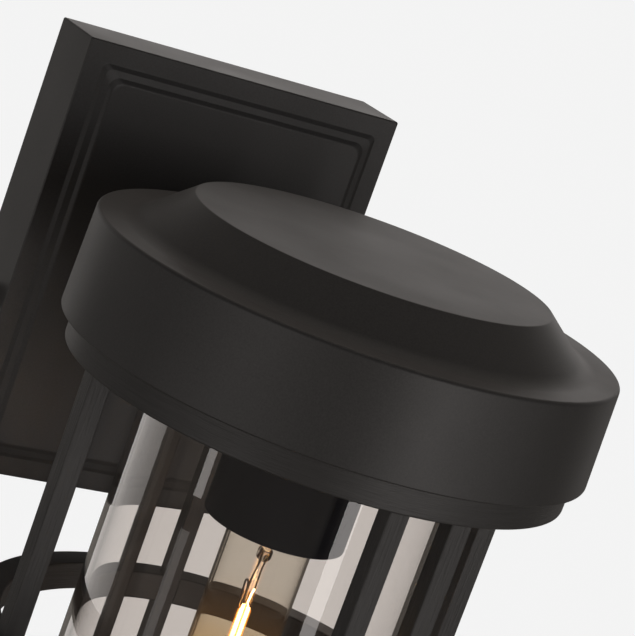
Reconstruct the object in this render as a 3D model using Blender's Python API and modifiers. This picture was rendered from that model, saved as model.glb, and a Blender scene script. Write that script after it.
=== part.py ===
"""Outdoor wall lantern: a wall box, a short arm, a spun cap, and a six-bar cage round a glass cylinder.

Metres, +Z up. The origin is the middle of the wall bracket's back face, which lies on the wall (y = 0).
The lantern stands out from the wall towards -Y, so a distance "out" is minus a y.
"""

import math

import bmesh
import bpy
from mathutils import Matrix, Vector

NAME = "wall_lantern"

GAP = 0.0003  # left between pieces that touch
BORE_CLEARANCE = 0.0003  # round a rod or a screw in its hole
ROUND_LARGE = 48  # flats round a large turned piece
ROUND_MIDDLE = 24
ROUND_SMALL = 12
BEND_STEPS = 6  # pieces of the filament's bend

# Wall box, gasket and bracket
BOX_WIDTH = 0.1445
BOX_HEIGHT = 0.184
BOX_RISE = 0.022  # middle of the box above the middle of the bracket
BOX_OUT = 0.0342  # rim of the box, out from the wall
BOX_SHEET = 0.0015
BOX_CORNER = 0.001
BOX_EDGE = 0.0006
PANEL_MARGINS = (0.008, 0.012)  # feet of the two steps, in from the sides
PANEL_STEP = 0.0012  # height of each step
PANEL_CORNERS = (0.0025, 0.005)
GASKET_THICKNESS = 0.0015
GASKET_INSET = 0.001
GASKET_WIDTH = 0.00525
BRACKET_MARGIN = 0.00675  # bracket's flange inside the box's side
BRACKET_SHEET = 0.002
BRACKET_HEIGHT = 0.028
BRACKET_OUT = 0.026
SLOT_SPACING = 0.0828
SLOT_LENGTH = 0.010
SLOT_WIDTH = 0.005
SIDE_SCREW_OUT = 0.0174
SIDE_SCREW_LENGTH = 0.0125
SIDE_SCREW_HEAD_RADIUS = 0.005
SIDE_SCREW_HEAD_HEIGHT = 0.005
GROUND_SCREW_X = 0.024
SCREW_RADIUS = 0.002  # every small screw is M4
SCREW_HEAD_RADIUS = 0.0037
SCREW_HEAD_HEIGHT = 0.0024
SCREW_CHAMFER = 0.0005

# Arm and its hollow stud
ARM_REACH = 0.0316  # clear distance from the panel to the cap
ARM_RADIUS = 0.011
ARM_WALL = 0.002
COLLAR_RADIUS = 0.017
COLLAR_THICKNESS = 0.003
STUD_RADIUS = 0.005
STUD_BORE = 0.0035
STUD_TAIL = 0.002  # length that shows past a nut
NUT_ACROSS = 0.014  # across flats
NUT_HEIGHT = 0.005
WASHER_RADIUS = 0.010
WASHER_THICKNESS = 0.0015

# Cap
CAP_RADIUS = 0.100
CAP_DRAFT = 0.0012  # growth of the drum's radius from its top to its bottom
CAP_SHEET = 0.0012
SHOULDER_Z = 0.07125  # drum's flat top, above the bracket's middle
DRUM_HEIGHT = 0.0384
HAT_RISE = 0.01505
HAT_TOP_INSET = 0.03174  # flat top's rim, in from the drum's edge
HAT_FOOT_INSET = 0.0135  # foot of the cone, in from the drum's edge
HAT_FILLET = 0.012
CAP_EDGE = 0.0013
CAP_PLATE_THICKNESS = 0.002
STANDOFF_RADIUS = 0.0035
TAPPED_DEPTH = 0.010

# Cage
CAGE_INSET = 0.0113  # bars' middles, in from the drum's edge
BAR_SIDE = 0.008
BAR_EDGE = 0.0005
PAIR_SPACING = 0.0254
RING_MARGIN = 0.0035  # ring's outer edge past the bars
RING_WIDTH = 0.0142
RING_HEIGHT = 0.0108
SOCKET_DEPTH = 0.006
CLEAR_HEIGHT = 0.2191  # between the two rings
HOOP_MARGIN = 0.0048
HOOP_WIDTH = 0.0109
HOOP_HEIGHT = 0.0116
CAGE_SCREWS = 4
COUNTERBORE_DEPTH = 0.0045
BASE_PLATE_THICKNESS = 0.003
BASE_PLATE_INSET = 0.002
BASE_SCREW_DEPTH = 0.007

# Glass and its gaskets
GLASS_RADIUS = 0.062
GLASS_WALL = 0.004
GLASS_EDGE = 0.0005
GLASS_GASKET = 0.0015
GLASS_GASKET_LIP = 0.0022
GLASS_GASKET_OVERLAP = 0.001  # of the glass's inner edge
GLASS_GASKET_RISE = 0.006
BASE_OPENING_MARGIN = 0.0015  # gasket's inner edge to the base opening's edge

# Lampholder in its cup
CUP_RADIUS = 0.0273
CUP_SHEET = 0.0012
CUP_DEPTH = 0.056
CUP_EDGE = 0.0015
LOW_NUT_HEIGHT = 0.004
HOLDER_RADIUS = 0.0195
HOLDER_EDGE = 0.002
HOLDER_TOP = 0.006
HOLDER_DEPTH = 0.0345
HOLDER_SHELL_WALL = 0.0006
CONTACT_SIZE = (0.012, 0.005, 0.0006)

# Lamp: heights are measured down from the tip of its contact
THREAD_RADIUS = 0.013
THREAD_CLEARANCE = 0.0003
LAMP_SHELL_WALL = 0.0004
LAMP_SHELL_EDGE = 0.002
LAMP_SHELL_TOP = 0.0047
LAMP_SHELL_BOTTOM = 0.026
LAMP_HOLE_RADIUS = 0.0085
LAMP_CONTACT_RADIUS = 0.0047
LAMP_CONTACT_HEIGHT = 0.0021
LAMP_INSULATOR_HEIGHT = 0.003
LAMP_NECK_RADIUS = 0.0122
LAMP_NECK_TOP = 0.0085
LAMP_NECK_BOTTOM = 0.0275
LAMP_NECK_FILLET = 0.005
LAMP_SHOULDER_BOTTOM = 0.0335
LAMP_SHOULDER_FILLET = 0.007
LAMP_RADIUS = 0.0165
LAMP_LENGTH = 0.1425
LAMP_GLASS_WALL = 0.0009
STEM_RADIUS = 0.003
STEM_TOP = 0.0105
STEM_FOOT = 0.001  # straight edge of the stem's flare
STEM_END = 0.0569
LEAD_RADIUS = 0.0004
LEAD_SPACING = 0.0024
FILAMENT_RADIUS = 0.0009
FILAMENT_LEFT_X = -0.0010
FILAMENT_RIGHT_X = 0.0015
FILAMENT_LEFT_TOP = 0.0720
FILAMENT_RIGHT_TOP = 0.0626
FILAMENT_BEND = 0.1120  # where the hairpin's bend starts
LONG_LEAD_X = -0.0020  # its bulge beside the short lead
LONG_LEAD_BULGE = 0.0660

# Wires from the wall to the lampholder
WIRE_RADIUS = 0.0009
WIRE_SPACING = 0.0024
WIRE_NUT_X = 0.022
WIRE_NUT_OUT = 0.015
WIRE_NUT_Z = 0.082
WIRE_NUT_RADIUS = 0.005
WIRE_NUT_LENGTH = 0.020
WIRE_RISE = 0.008  # of the wires above the arm, on their way to the nipple
WIRE_BEND = 0.012  # length that a wire takes to turn
NEUTRAL_STEP = 0.001  # between the wires' ends in the lampholder

# Places worked out from the sizes above
PANEL_OUT = BOX_OUT + len(PANEL_MARGINS) * PANEL_STEP
PANEL_BACK = PANEL_OUT - BOX_SHEET
AXIS_OUT = PANEL_OUT + ARM_REACH + CAP_RADIUS
DRUM_BOTTOM = SHOULDER_Z - DRUM_HEIGHT
ARM_Z = SHOULDER_Z - DRUM_HEIGHT / 2
BOX_BACK = GASKET_THICKNESS + GAP
BRACKET_HALF = BOX_WIDTH / 2 - BRACKET_MARGIN
BAR_CIRCLE = CAP_RADIUS - CAGE_INSET
BAR_OUTSIDE = BAR_CIRCLE + BAR_SIDE / 2
RING_OUTSIDE = BAR_OUTSIDE + RING_MARGIN
RING_INSIDE = RING_OUTSIDE - RING_WIDTH
RING_MIDDLE = RING_OUTSIDE - RING_WIDTH / 2
RING_TOP = DRUM_BOTTOM - GAP
RING_BOTTOM = RING_TOP - RING_HEIGHT
BASE_RING_TOP = RING_BOTTOM - CLEAR_HEIGHT
BASE_RING_BOTTOM = BASE_RING_TOP - RING_HEIGHT
HOOP_Z = (RING_BOTTOM + BASE_RING_TOP) / 2
HOOP_OUTSIDE = BAR_OUTSIDE + HOOP_MARGIN
BASE_PLATE_TOP = BASE_RING_BOTTOM - GAP
BASE_PLATE_BOTTOM = BASE_PLATE_TOP - BASE_PLATE_THICKNESS
GLASS_TOP = RING_TOP - GLASS_GASKET - GAP
GLASS_BOTTOM = BASE_PLATE_TOP + GLASS_GASKET + 2 * GAP
GASKET_INSIDE = GLASS_RADIUS - GLASS_WALL - GLASS_GASKET_OVERLAP
CUP_TOP = RING_TOP
CUP_INNER_TOP = CUP_TOP - CUP_SHEET
LOW_NUT_TOP = CUP_INNER_TOP - GAP
HOLDER_Z = LOW_NUT_TOP - LOW_NUT_HEIGHT - GAP
HOLDER_BORE_TOP = HOLDER_Z - HOLDER_TOP
CONTACT_BOTTOM = HOLDER_BORE_TOP - GAP - CONTACT_SIZE[2]
LAMP_TIP_Z = CONTACT_BOTTOM - GAP
CAP_PLATE_TOP = DRUM_BOTTOM + CAP_PLATE_THICKNESS
NIPPLE_TOP = CAP_PLATE_TOP + WASHER_THICKNESS + NUT_HEIGHT + 2 * GAP + STUD_TAIL

FRONTWARD = (math.pi / 2, 0, 0)  # turns a piece's +Z to point out from the wall
WALLWARD = (-math.pi / 2, 0, 0)
RIGHTWARD = (0, math.pi / 2, 0)
LEFTWARD = (0, -math.pi / 2, 0)


def material(name, colour, roughness, metallic=0.0, transmission=0.0):
    """A Principled material, made once."""
    made = bpy.data.materials.get(name)
    if made:
        return made
    made = bpy.data.materials.new(name)
    made.use_nodes = True
    shader = made.node_tree.nodes["Principled BSDF"]
    shader.inputs["Base Color"].default_value = (*colour, 1)
    shader.inputs["Roughness"].default_value = roughness
    shader.inputs["Metallic"].default_value = metallic
    shader.inputs["Transmission Weight"].default_value = transmission
    made.diffuse_color = (*colour, 1)
    return made


def black_paint():
    return material("black_paint", (0.012, 0.012, 0.013), 0.4)


def cup_paint():
    return material("cup_paint", (0.010, 0.010, 0.012), 0.3)


def zinc():
    return material("zinc", (0.55, 0.56, 0.57), 0.35, metallic=1)


def nickel():
    return material("nickel", (0.62, 0.60, 0.55), 0.25, metallic=1)


def brass():
    return material("brass", (0.72, 0.55, 0.25), 0.3, metallic=1)


def solder():
    return material("solder", (0.50, 0.50, 0.50), 0.45, metallic=1)


def clear_glass():
    return material("clear_glass", (0.95, 0.95, 0.94), 0.02, transmission=1)


def lamp_glass():
    return material("lamp_glass", (0.90, 0.66, 0.40), 0.02, transmission=1)


def dark_glass():
    return material("dark_glass", (0.03, 0.02, 0.04), 0.2)


def porcelain():
    return material("porcelain", (0.85, 0.84, 0.80), 0.3)


def rubber(name="rubber", colour=(0.03, 0.03, 0.03)):
    return material(name, colour, 0.8)


def silicone():
    return rubber("silicone", (0.80, 0.80, 0.78))


def tungsten():
    return material("tungsten", (0.90, 0.60, 0.25), 0.5, metallic=1)


def green_paint():
    return material("green_zinc", (0.10, 0.40, 0.16), 0.4, metallic=1)


def wire_coat(colour_name):
    colours = {"black": (0.02, 0.02, 0.02), "white": (0.8, 0.8, 0.78)}
    return material("wire_" + colour_name, colours[colour_name], 0.5)


def plastic():
    return material("wire_nut_plastic", (0.75, 0.30, 0.05), 0.5)


def place(name, mesh, surface=None, location=(0, 0, 0), turn=(0, 0, 0), parent=None):
    """Puts a mesh in the scene: as a part with its material, or as a cutter when it has none."""
    body = bpy.data.objects.new(name, mesh)
    body.location = location
    body.rotation_euler = turn
    body.parent = parent
    if surface:
        mesh.materials.append(surface)
        bpy.data.collections[NAME].objects.link(body)
    else:
        bpy.data.collections["cutters"].objects.link(body)
        body.hide_render = True
        body.display_type = "WIRE"
    return body


def join_step(body, tool, operation="DIFFERENCE"):
    """A Boolean of one object with another."""
    step = body.modifiers.new(tool.name, "BOOLEAN")
    step.operation = operation
    step.object = tool


def rounded(corners, steps=2):
    """The points of an outline whose corners (across, height, radius) are turned into arcs."""
    points = []
    for index, (across, height, radius) in enumerate(corners):
        here = Vector((across, height))
        if not radius:
            points.append(here)
            continue
        before = (Vector(corners[index - 1][:2]) - here).normalized()
        after = (Vector(corners[(index + 1) % len(corners)][:2]) - here).normalized()
        half = before.angle(after) / 2
        centre = here + (before + after).normalized() * radius / math.sin(half)
        start = here + before * radius / math.tan(half) - centre
        sweep = start.angle_signed(here + after * radius / math.tan(half) - centre)
        for step in range(steps + 1):
            points.append(centre + Matrix.Rotation(-sweep * step / steps, 2) @ start)
    return [tuple(point) for point in points]


def turned(name, outline, flats, surface=None, closed=True, sheet=0.0, **placing):
    """A turned piece: its outline runs down the outer side and, when closed, back up the inner one."""
    mesh = bpy.data.meshes.new(name)
    count = len(outline)
    links = [(index, index + 1) for index in range(count - 1)]
    if closed:
        links.append((count - 1, 0))
    mesh.from_pydata([(across, 0, height) for across, height in outline], links, [])
    body = place(name, mesh, surface, **placing)
    spin = body.modifiers.new("turn", "SCREW")
    spin.steps = spin.render_steps = flats
    spin.use_merge_vertices = True
    spin.merge_threshold = 0.00001
    spin.use_normal_calculate = False
    spin.use_smooth_shade = False
    if sheet:
        wall = body.modifiers.new("sheet", "SOLIDIFY")
        wall.thickness = sheet
        wall.offset = -1
        wall.use_even_offset = True
    return body


def disc(name, radius, low, high, flats, surface=None, **placing):
    """A solid cylinder along its own Z."""
    outline = [(0, high), (radius, high), (radius, low), (0, low)]
    return turned(name, outline, flats, surface, closed=False, **placing)


def tube(name, outside, inside, low, high, flats, surface=None, edge=0.0, **placing):
    """A ring or tube along its own Z, with its outer edges chamfered."""
    corners = [(outside, high, edge), (outside, low, edge), (inside, low, 0), (inside, high, 0)]
    return turned(name, rounded(corners, 1), flats, surface, **placing)


def block(name, size, centre, surface=None, corner=0.0, along=2, edge=0.0, **placing):
    """A box. Its four edges along one axis are rounded, and those of its front face are chamfered."""
    shape = bmesh.new()
    bmesh.ops.create_cube(shape, size=1)
    bmesh.ops.scale(shape, vec=size, verts=shape.verts)
    bmesh.ops.translate(shape, vec=centre, verts=shape.verts)
    if corner:
        sides = [side for side in shape.edges if _runs_along(side, along)]
        bmesh.ops.bevel(shape, geom=sides, offset=corner, segments=4, profile=0.5, affect="EDGES")
    if edge:
        front = min(vert.co.y for vert in shape.verts)
        rim = [side for side in shape.edges if all(abs(v.co.y - front) < 1e-7 for v in side.verts)]
        bmesh.ops.bevel(shape, geom=rim, offset=edge, segments=1, affect="EDGES")
    mesh = bpy.data.meshes.new(name)
    shape.to_mesh(mesh)
    shape.free()
    return place(name, mesh, surface, **placing)


def _runs_along(side, axis):
    way = side.verts[1].co - side.verts[0].co
    return abs(way[axis]) > 0.99 * way.length


def nut(name, low, height, surface, **placing):
    """A hexagon nut along its own Z, bored for the stud."""
    shape = bmesh.new()
    corner_radius = NUT_ACROSS / 2 / math.cos(math.pi / 6)
    bmesh.ops.create_cone(
        shape, cap_ends=True, segments=6, radius1=corner_radius, radius2=corner_radius, depth=height
    )
    bmesh.ops.translate(shape, vec=(0, 0, low + height / 2), verts=shape.verts)
    mesh = bpy.data.meshes.new(name)
    shape.to_mesh(mesh)
    shape.free()
    body = place(name, mesh, surface, **placing)
    bore = disc(
        name + "_bore", STUD_RADIUS + BORE_CLEARANCE, low - height, low + 2 * height, ROUND_SMALL, **placing
    )
    join_step(body, bore)
    return body


def screw(name, length, surface, head_radius=SCREW_HEAD_RADIUS, head_height=SCREW_HEAD_HEIGHT, **placing):
    """A screw whose seat is at its own origin, with its shank along +Z."""
    outline = [
        (0, length),
        (SCREW_RADIUS - SCREW_CHAMFER, length),
        (SCREW_RADIUS, length - SCREW_CHAMFER),
        (SCREW_RADIUS, 0),
        (head_radius, 0),
        (head_radius, SCREW_CHAMFER - head_height),
        (head_radius - SCREW_CHAMFER, -head_height),
        (0, -head_height),
    ]
    return turned(name, outline, ROUND_SMALL, surface, closed=False, **placing)


def smooth_route(points, pieces=8):
    """Points along a smooth curve through the given ones (Catmull-Rom)."""
    knots = [Vector(point) for point in points]
    knots = [2 * knots[0] - knots[1], *knots, 2 * knots[-1] - knots[-2]]
    route = []
    for a, b, c, d in zip(knots, knots[1:], knots[2:], knots[3:], strict=False):
        for step in range(pieces):
            t = step / pieces
            square = a * 2 - b * 5 + c * 4 - d
            cubic = b * 3 - a - c * 3 + d
            route.append((b * 2 + (c - a) * t + square * t**2 + cubic * t**3) / 2)
    return [*route, knots[-2]]


def wire(name, route, radius, surface, **placing):
    """A round wire through a list of points."""
    curve = bpy.data.curves.new(name, "CURVE")
    curve.dimensions = "3D"
    curve.bevel_depth = radius
    curve.bevel_resolution = 1
    curve.use_fill_caps = True
    spline = curve.splines.new("POLY")
    spline.points.add(len(route) - 1)
    for point, spot in zip(spline.points, route, strict=True):
        point.co = (*spot, 1)
    return place(name, curve, surface, **placing)


def cap_radius_at(height):
    """Outer radius of the drum at a height."""
    return CAP_RADIUS + CAP_DRAFT * (SHOULDER_Z - height) / DRUM_HEIGHT


def bar_places():
    """Each bar's name with its place round the lantern's axis."""
    half = PAIR_SPACING / 2
    return {
        "left": (-BAR_CIRCLE, 0),
        "right": (BAR_CIRCLE, 0),
        "front_left": (-half, -BAR_CIRCLE),
        "front_right": (half, -BAR_CIRCLE),
        "back_left": (-half, BAR_CIRCLE),
        "back_right": (half, BAR_CIRCLE),
    }


def screw_places():
    """The screws' places round the rings, midway between the bars."""
    places = []
    for index in range(CAGE_SCREWS):
        angle = 2 * math.pi * (index + 0.5) / CAGE_SCREWS
        places.append((RING_MIDDLE * math.cos(angle), RING_MIDDLE * math.sin(angle)))
    return places


def make_wall_box():
    """The pressed box with its two-step panel, open at the back."""
    depth = BOX_OUT - BOX_BACK
    size = (BOX_WIDTH, depth, BOX_HEIGHT)
    centre = (0, -BOX_BACK - depth / 2, BOX_RISE)
    box = block("wall_box", size, centre, black_paint(), BOX_CORNER, along=1, edge=BOX_EDGE)
    inner = (BOX_WIDTH - 2 * BOX_SHEET, BOX_OUT, BOX_HEIGHT - 2 * BOX_SHEET)
    hollow = (0, BOX_SHEET - BOX_OUT / 2, BOX_RISE)
    hollows = [block("box_hollow", inner, hollow)]
    for index, (margin, corner) in enumerate(zip(PANEL_MARGINS, PANEL_CORNERS, strict=True)):
        out = BOX_OUT + PANEL_STEP * (index + 1)
        raised = PANEL_STEP * (index + 1) + BOX_SHEET / 2
        step_size = (BOX_WIDTH - 2 * margin, raised, BOX_HEIGHT - 2 * margin)
        step = block(
            f"panel_step_{index + 1}",
            step_size,
            (0, raised / 2 - out, BOX_RISE),
            corner=corner,
            along=1,
            edge=PANEL_STEP,
        )
        join_step(box, step, "UNION")
        inside = 2 * (margin + BOX_SHEET)
        hollow_size = (BOX_WIDTH - inside, out, BOX_HEIGHT - inside)
        hollow = (0, BOX_SHEET - out / 2, BOX_RISE)
        hollows.append(block(f"panel_hollow_{index + 1}", hollow_size, hollow, corner=corner, along=1))
    for tool in hollows:
        join_step(box, tool)
    join_step(box, bpy.data.objects["arm_bore"])
    join_step(box, bpy.data.objects["side_screw_bore"])


def make_bracket():
    """The gasket, and the channel bracket that is screwed to the wall's box."""
    size = (BOX_WIDTH - 2 * GASKET_INSET, GASKET_THICKNESS, BOX_HEIGHT - 2 * GASKET_INSET)
    centre = (0, -GASKET_THICKNESS / 2, BOX_RISE)
    gasket = block("wall_gasket", size, centre, rubber())
    window = (size[0] - 2 * GASKET_WIDTH, 1.5 * BOX_OUT, size[2] - 2 * GASKET_WIDTH)
    join_step(gasket, block("gasket_window", window, centre))

    size = (2 * BRACKET_HALF, BRACKET_OUT, BRACKET_HEIGHT)
    bracket = block("wall_bracket", size, (0, -BRACKET_OUT / 2, 0), zinc())
    inner = (size[0] - 2 * BRACKET_SHEET, BRACKET_OUT, 2 * BRACKET_HEIGHT)
    join_step(bracket, block("bracket_inside", inner, (0, -BRACKET_SHEET - BRACKET_OUT / 2, 0)))
    for side in (-1, 1):
        slot = block(
            f"bracket_slot_{side}",
            (SLOT_LENGTH, 4 * BRACKET_SHEET, SLOT_WIDTH),
            (side * SLOT_SPACING / 2, -BRACKET_SHEET / 2, 0),
            corner=0.49 * SLOT_WIDTH,
            along=1,
        )
        join_step(bracket, slot)
    hole = disc(
        "ground_screw_bore",
        SCREW_RADIUS + BORE_CLEARANCE,
        -BRACKET_SHEET,
        2 * BRACKET_SHEET,
        ROUND_SMALL,
        location=(GROUND_SCREW_X, 0, 0),
        turn=FRONTWARD,
    )
    join_step(bracket, hole)
    join_step(bracket, bpy.data.objects["side_screw_bore"])
    seat = (GROUND_SCREW_X, -BRACKET_SHEET - GAP, 0)
    screw("ground_screw", BRACKET_SHEET - GAP, green_paint(), location=seat, turn=WALLWARD)


def make_side_screws():
    """A thumb screw through each side of the box, into the bracket's flange."""
    seat = BOX_WIDTH / 2 + GAP
    for name, side, turn in (("left", -1, RIGHTWARD), ("right", 1, LEFTWARD)):
        screw(
            "side_screw_" + name,
            SIDE_SCREW_LENGTH,
            black_paint(),
            SIDE_SCREW_HEAD_RADIUS,
            SIDE_SCREW_HEAD_HEIGHT,
            location=(side * seat, -SIDE_SCREW_OUT, 0),
            turn=turn,
        )


def make_bores():
    """The bores that pass through several pieces."""
    disc(
        "arm_bore",
        STUD_RADIUS + BORE_CLEARANCE,
        0,
        AXIS_OUT - CAP_RADIUS / 2,
        ROUND_SMALL,
        location=(0, 0, ARM_Z),
        turn=FRONTWARD,
    )
    disc(
        "side_screw_bore",
        SCREW_RADIUS + BORE_CLEARANCE,
        -BOX_WIDTH,
        BOX_WIDTH,
        ROUND_SMALL,
        location=(0, -SIDE_SCREW_OUT, 0),
        turn=RIGHTWARD,
    )
    disc(
        "axis_bore",
        STUD_RADIUS + BORE_CLEARANCE,
        CUP_TOP,
        CAP_PLATE_TOP + CAP_PLATE_THICKNESS,
        ROUND_SMALL,
        parent=bpy.data.objects["lantern_axis"],
    )


def make_arm():
    """The tube between the panel and the cap, with the hollow stud and the nuts that clamp it."""
    at_arm = {"location": (0, 0, ARM_Z), "turn": FRONTWARD}
    collar_back = PANEL_OUT + GAP
    tube(
        "arm_collar",
        COLLAR_RADIUS,
        ARM_RADIUS + GAP,
        collar_back,
        collar_back + COLLAR_THICKNESS,
        ROUND_MIDDLE,
        black_paint(),
        **at_arm,
    )
    arm = tube(
        "arm_tube",
        ARM_RADIUS,
        ARM_RADIUS - ARM_WALL,
        collar_back,
        AXIS_OUT - CAP_RADIUS / 2,
        ROUND_MIDDLE,
        black_paint(),
        **at_arm,
    )
    outline = [
        (0, SHOULDER_Z),
        (cap_radius_at(SHOULDER_Z) + GAP, SHOULDER_Z),
        (cap_radius_at(DRUM_BOTTOM) + GAP, DRUM_BOTTOM),
        (0, DRUM_BOTTOM),
    ]
    saddle = turned(
        "arm_saddle", outline, ROUND_LARGE, closed=False, parent=bpy.data.objects["lantern_axis"]
    )
    join_step(arm, saddle)

    washer_wall = PANEL_BACK - GAP - WASHER_THICKNESS
    nut_wall = washer_wall - GAP - NUT_HEIGHT
    inner = (cap_radius_at(ARM_Z + WASHER_RADIUS) - CAP_SHEET) * math.cos(math.pi / ROUND_LARGE)
    washer_cap = AXIS_OUT - math.sqrt(inner**2 - WASHER_RADIUS**2) + GAP
    nut_cap = washer_cap + WASHER_THICKNESS + GAP
    stud_ends = (nut_wall - STUD_TAIL, nut_cap + NUT_HEIGHT + STUD_TAIL)
    tube("arm_stud", STUD_RADIUS, STUD_BORE, *stud_ends, ROUND_SMALL, zinc(), **at_arm)
    for name, low in (("wall", washer_wall), ("cap", washer_cap)):
        make_washer("arm_washer_" + name, low, **at_arm)
    nut("arm_nut_wall", nut_wall, NUT_HEIGHT, zinc(), **at_arm)
    nut("arm_nut_cap", nut_cap, NUT_HEIGHT, zinc(), **at_arm)
    return stud_ends


def make_washer(name, low, **placing):
    inside = STUD_RADIUS + BORE_CLEARANCE
    tube(name, WASHER_RADIUS, inside, low, low + WASHER_THICKNESS, ROUND_SMALL, zinc(), **placing)


def make_cap(axis):
    """The spun cap, the plate that closes it and the standoffs between them."""
    corners = [
        (0, SHOULDER_Z + HAT_RISE, 0),
        (CAP_RADIUS - HAT_TOP_INSET, SHOULDER_Z + HAT_RISE, CAP_EDGE),
        (CAP_RADIUS - HAT_FOOT_INSET, SHOULDER_Z, HAT_FILLET),
        (CAP_RADIUS, SHOULDER_Z, CAP_EDGE),
        (cap_radius_at(DRUM_BOTTOM), DRUM_BOTTOM, 0),
    ]
    shell = turned(
        "cap_shell",
        rounded(corners),
        ROUND_LARGE,
        black_paint(),
        closed=False,
        sheet=CAP_SHEET,
        parent=axis,
    )
    join_step(shell, bpy.data.objects["arm_bore"])

    plate_radius = (cap_radius_at(CAP_PLATE_TOP) - CAP_SHEET) * math.cos(math.pi / ROUND_LARGE) - GAP
    plate = disc("cap_plate", plate_radius, DRUM_BOTTOM, CAP_PLATE_TOP, ROUND_LARGE, zinc(), parent=axis)
    join_step(plate, bpy.data.objects["axis_bore"])
    low = CAP_PLATE_TOP + GAP
    high = SHOULDER_Z - CAP_SHEET - GAP
    bore = SCREW_RADIUS + BORE_CLEARANCE
    outline = [(0, high), (STANDOFF_RADIUS, high), (STANDOFF_RADIUS, low), (bore, low)]
    outline += [(bore, low + TAPPED_DEPTH), (0, low + TAPPED_DEPTH)]
    for index, (x, y) in enumerate(screw_places()):
        number = str(index + 1)
        here = {"parent": axis, "location": (x, y, 0)}
        turned("cap_standoff_" + number, outline, ROUND_SMALL, zinc(), closed=False, **here)
        join_step(plate, disc("cap_plate_bore_" + number, bore, RING_TOP, low, ROUND_SMALL, **here))


def cut_bar_sockets(ring, low, high, name):
    """Cuts a square socket for each bar into a ring."""
    side = BAR_SIDE + 2 * BORE_CLEARANCE
    for bar, (x, y) in bar_places().items():
        size = (side, side, high - low)
        centre = (x, y, (low + high) / 2)
        join_step(ring, block(f"{name}_{bar}", size, centre, parent=ring.parent))


def make_rings(axis):
    """The cage's top ring, with its screws up into the standoffs, and its base ring."""
    ring = {"flats": ROUND_LARGE, "surface": black_paint(), "edge": BAR_EDGE, "parent": axis}
    top = tube("cage_ring_top", RING_OUTSIDE, RING_INSIDE, RING_BOTTOM, RING_TOP, **ring)
    cut_bar_sockets(top, RING_BOTTOM - SOCKET_DEPTH, RING_BOTTOM + SOCKET_DEPTH, "top_socket")
    base = tube("base_ring", RING_OUTSIDE, RING_INSIDE, BASE_RING_BOTTOM, BASE_RING_TOP, **ring)
    cut_bar_sockets(base, BASE_RING_TOP - SOCKET_DEPTH, BASE_RING_TOP + SOCKET_DEPTH, "base_socket")

    bore = SCREW_RADIUS + BORE_CLEARANCE
    wide = SCREW_HEAD_RADIUS + BORE_CLEARANCE
    seat = RING_BOTTOM + COUNTERBORE_DEPTH
    outline = [(0, RING_TOP + GAP), (bore, RING_TOP + GAP), (bore, seat), (wide, seat)]
    outline += [(wide, RING_BOTTOM - GAP), (0, RING_BOTTOM - GAP)]
    length = CAP_PLATE_TOP + TAPPED_DEPTH - seat - 2 * GAP
    blind = BASE_RING_BOTTOM + BASE_SCREW_DEPTH + 2 * GAP
    for index, (x, y) in enumerate(screw_places()):
        number = str(index + 1)
        here = {"parent": axis, "location": (x, y, 0)}
        join_step(top, turned("ring_bore_" + number, outline, ROUND_SMALL, closed=False, **here))
        join_step(base, disc("base_bore_" + number, bore, BASE_PLATE_TOP, blind, ROUND_SMALL, **here))
        screw("cage_screw_" + number, length, zinc(), parent=axis, location=(x, y, seat - GAP))


def make_bars(axis):
    """Six square bars from ring to ring, and the hoop notched round them."""
    low = BASE_RING_TOP - SOCKET_DEPTH + GAP
    high = RING_BOTTOM + SOCKET_DEPTH - GAP
    size = (BAR_SIDE, BAR_SIDE, high - low)
    for name, (x, y) in bar_places().items():
        centre = (0, 0, (low + high) / 2)
        bar = block("cage_bar_" + name, size, centre, black_paint(), parent=axis, location=(x, y, 0))
        soften = bar.modifiers.new("edges", "BEVEL")
        soften.width = BAR_EDGE
        soften.segments = 1

    half = HOOP_HEIGHT / 2
    hoop = tube(
        "cage_hoop",
        HOOP_OUTSIDE,
        HOOP_OUTSIDE - HOOP_WIDTH,
        HOOP_Z - half,
        HOOP_Z + half,
        ROUND_LARGE,
        black_paint(),
        edge=BAR_EDGE,
        parent=axis,
    )
    wide = BAR_SIDE + 2 * BORE_CLEARANCE
    deep = HOOP_WIDTH
    for name, (x, y) in bar_places().items():
        across = abs(x) < abs(y)
        outward = math.copysign(BAR_OUTSIDE + BORE_CLEARANCE - deep / 2, y if across else x)
        centre = (x, outward, HOOP_Z) if across else (outward, y, HOOP_Z)
        notch = (wide, deep, 2 * HOOP_HEIGHT) if across else (deep, wide, 2 * HOOP_HEIGHT)
        join_step(hoop, block("hoop_notch_" + name, notch, centre, parent=axis))


def make_base_plate(axis):
    """The plate that carries the glass, with the opening through which the lamp is changed."""
    opening = GASKET_INSIDE - BASE_OPENING_MARGIN
    plate = tube(
        "base_plate",
        RING_OUTSIDE - BASE_PLATE_INSET,
        opening,
        BASE_PLATE_BOTTOM,
        BASE_PLATE_TOP,
        ROUND_LARGE,
        black_paint(),
        parent=axis,
    )
    bore = SCREW_RADIUS + BORE_CLEARANCE
    seat = BASE_PLATE_BOTTOM - GAP
    for index, (x, y) in enumerate(screw_places()):
        number = str(index + 1)
        here = {"parent": axis, "location": (x, y, 0)}
        join_step(plate, disc("plate_bore_" + number, bore, seat, BASE_RING_BOTTOM, ROUND_SMALL, **here))
        length = BASE_PLATE_THICKNESS + BASE_SCREW_DEPTH
        screw("base_screw_" + number, length, black_paint(), parent=axis, location=(x, y, seat))


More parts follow.
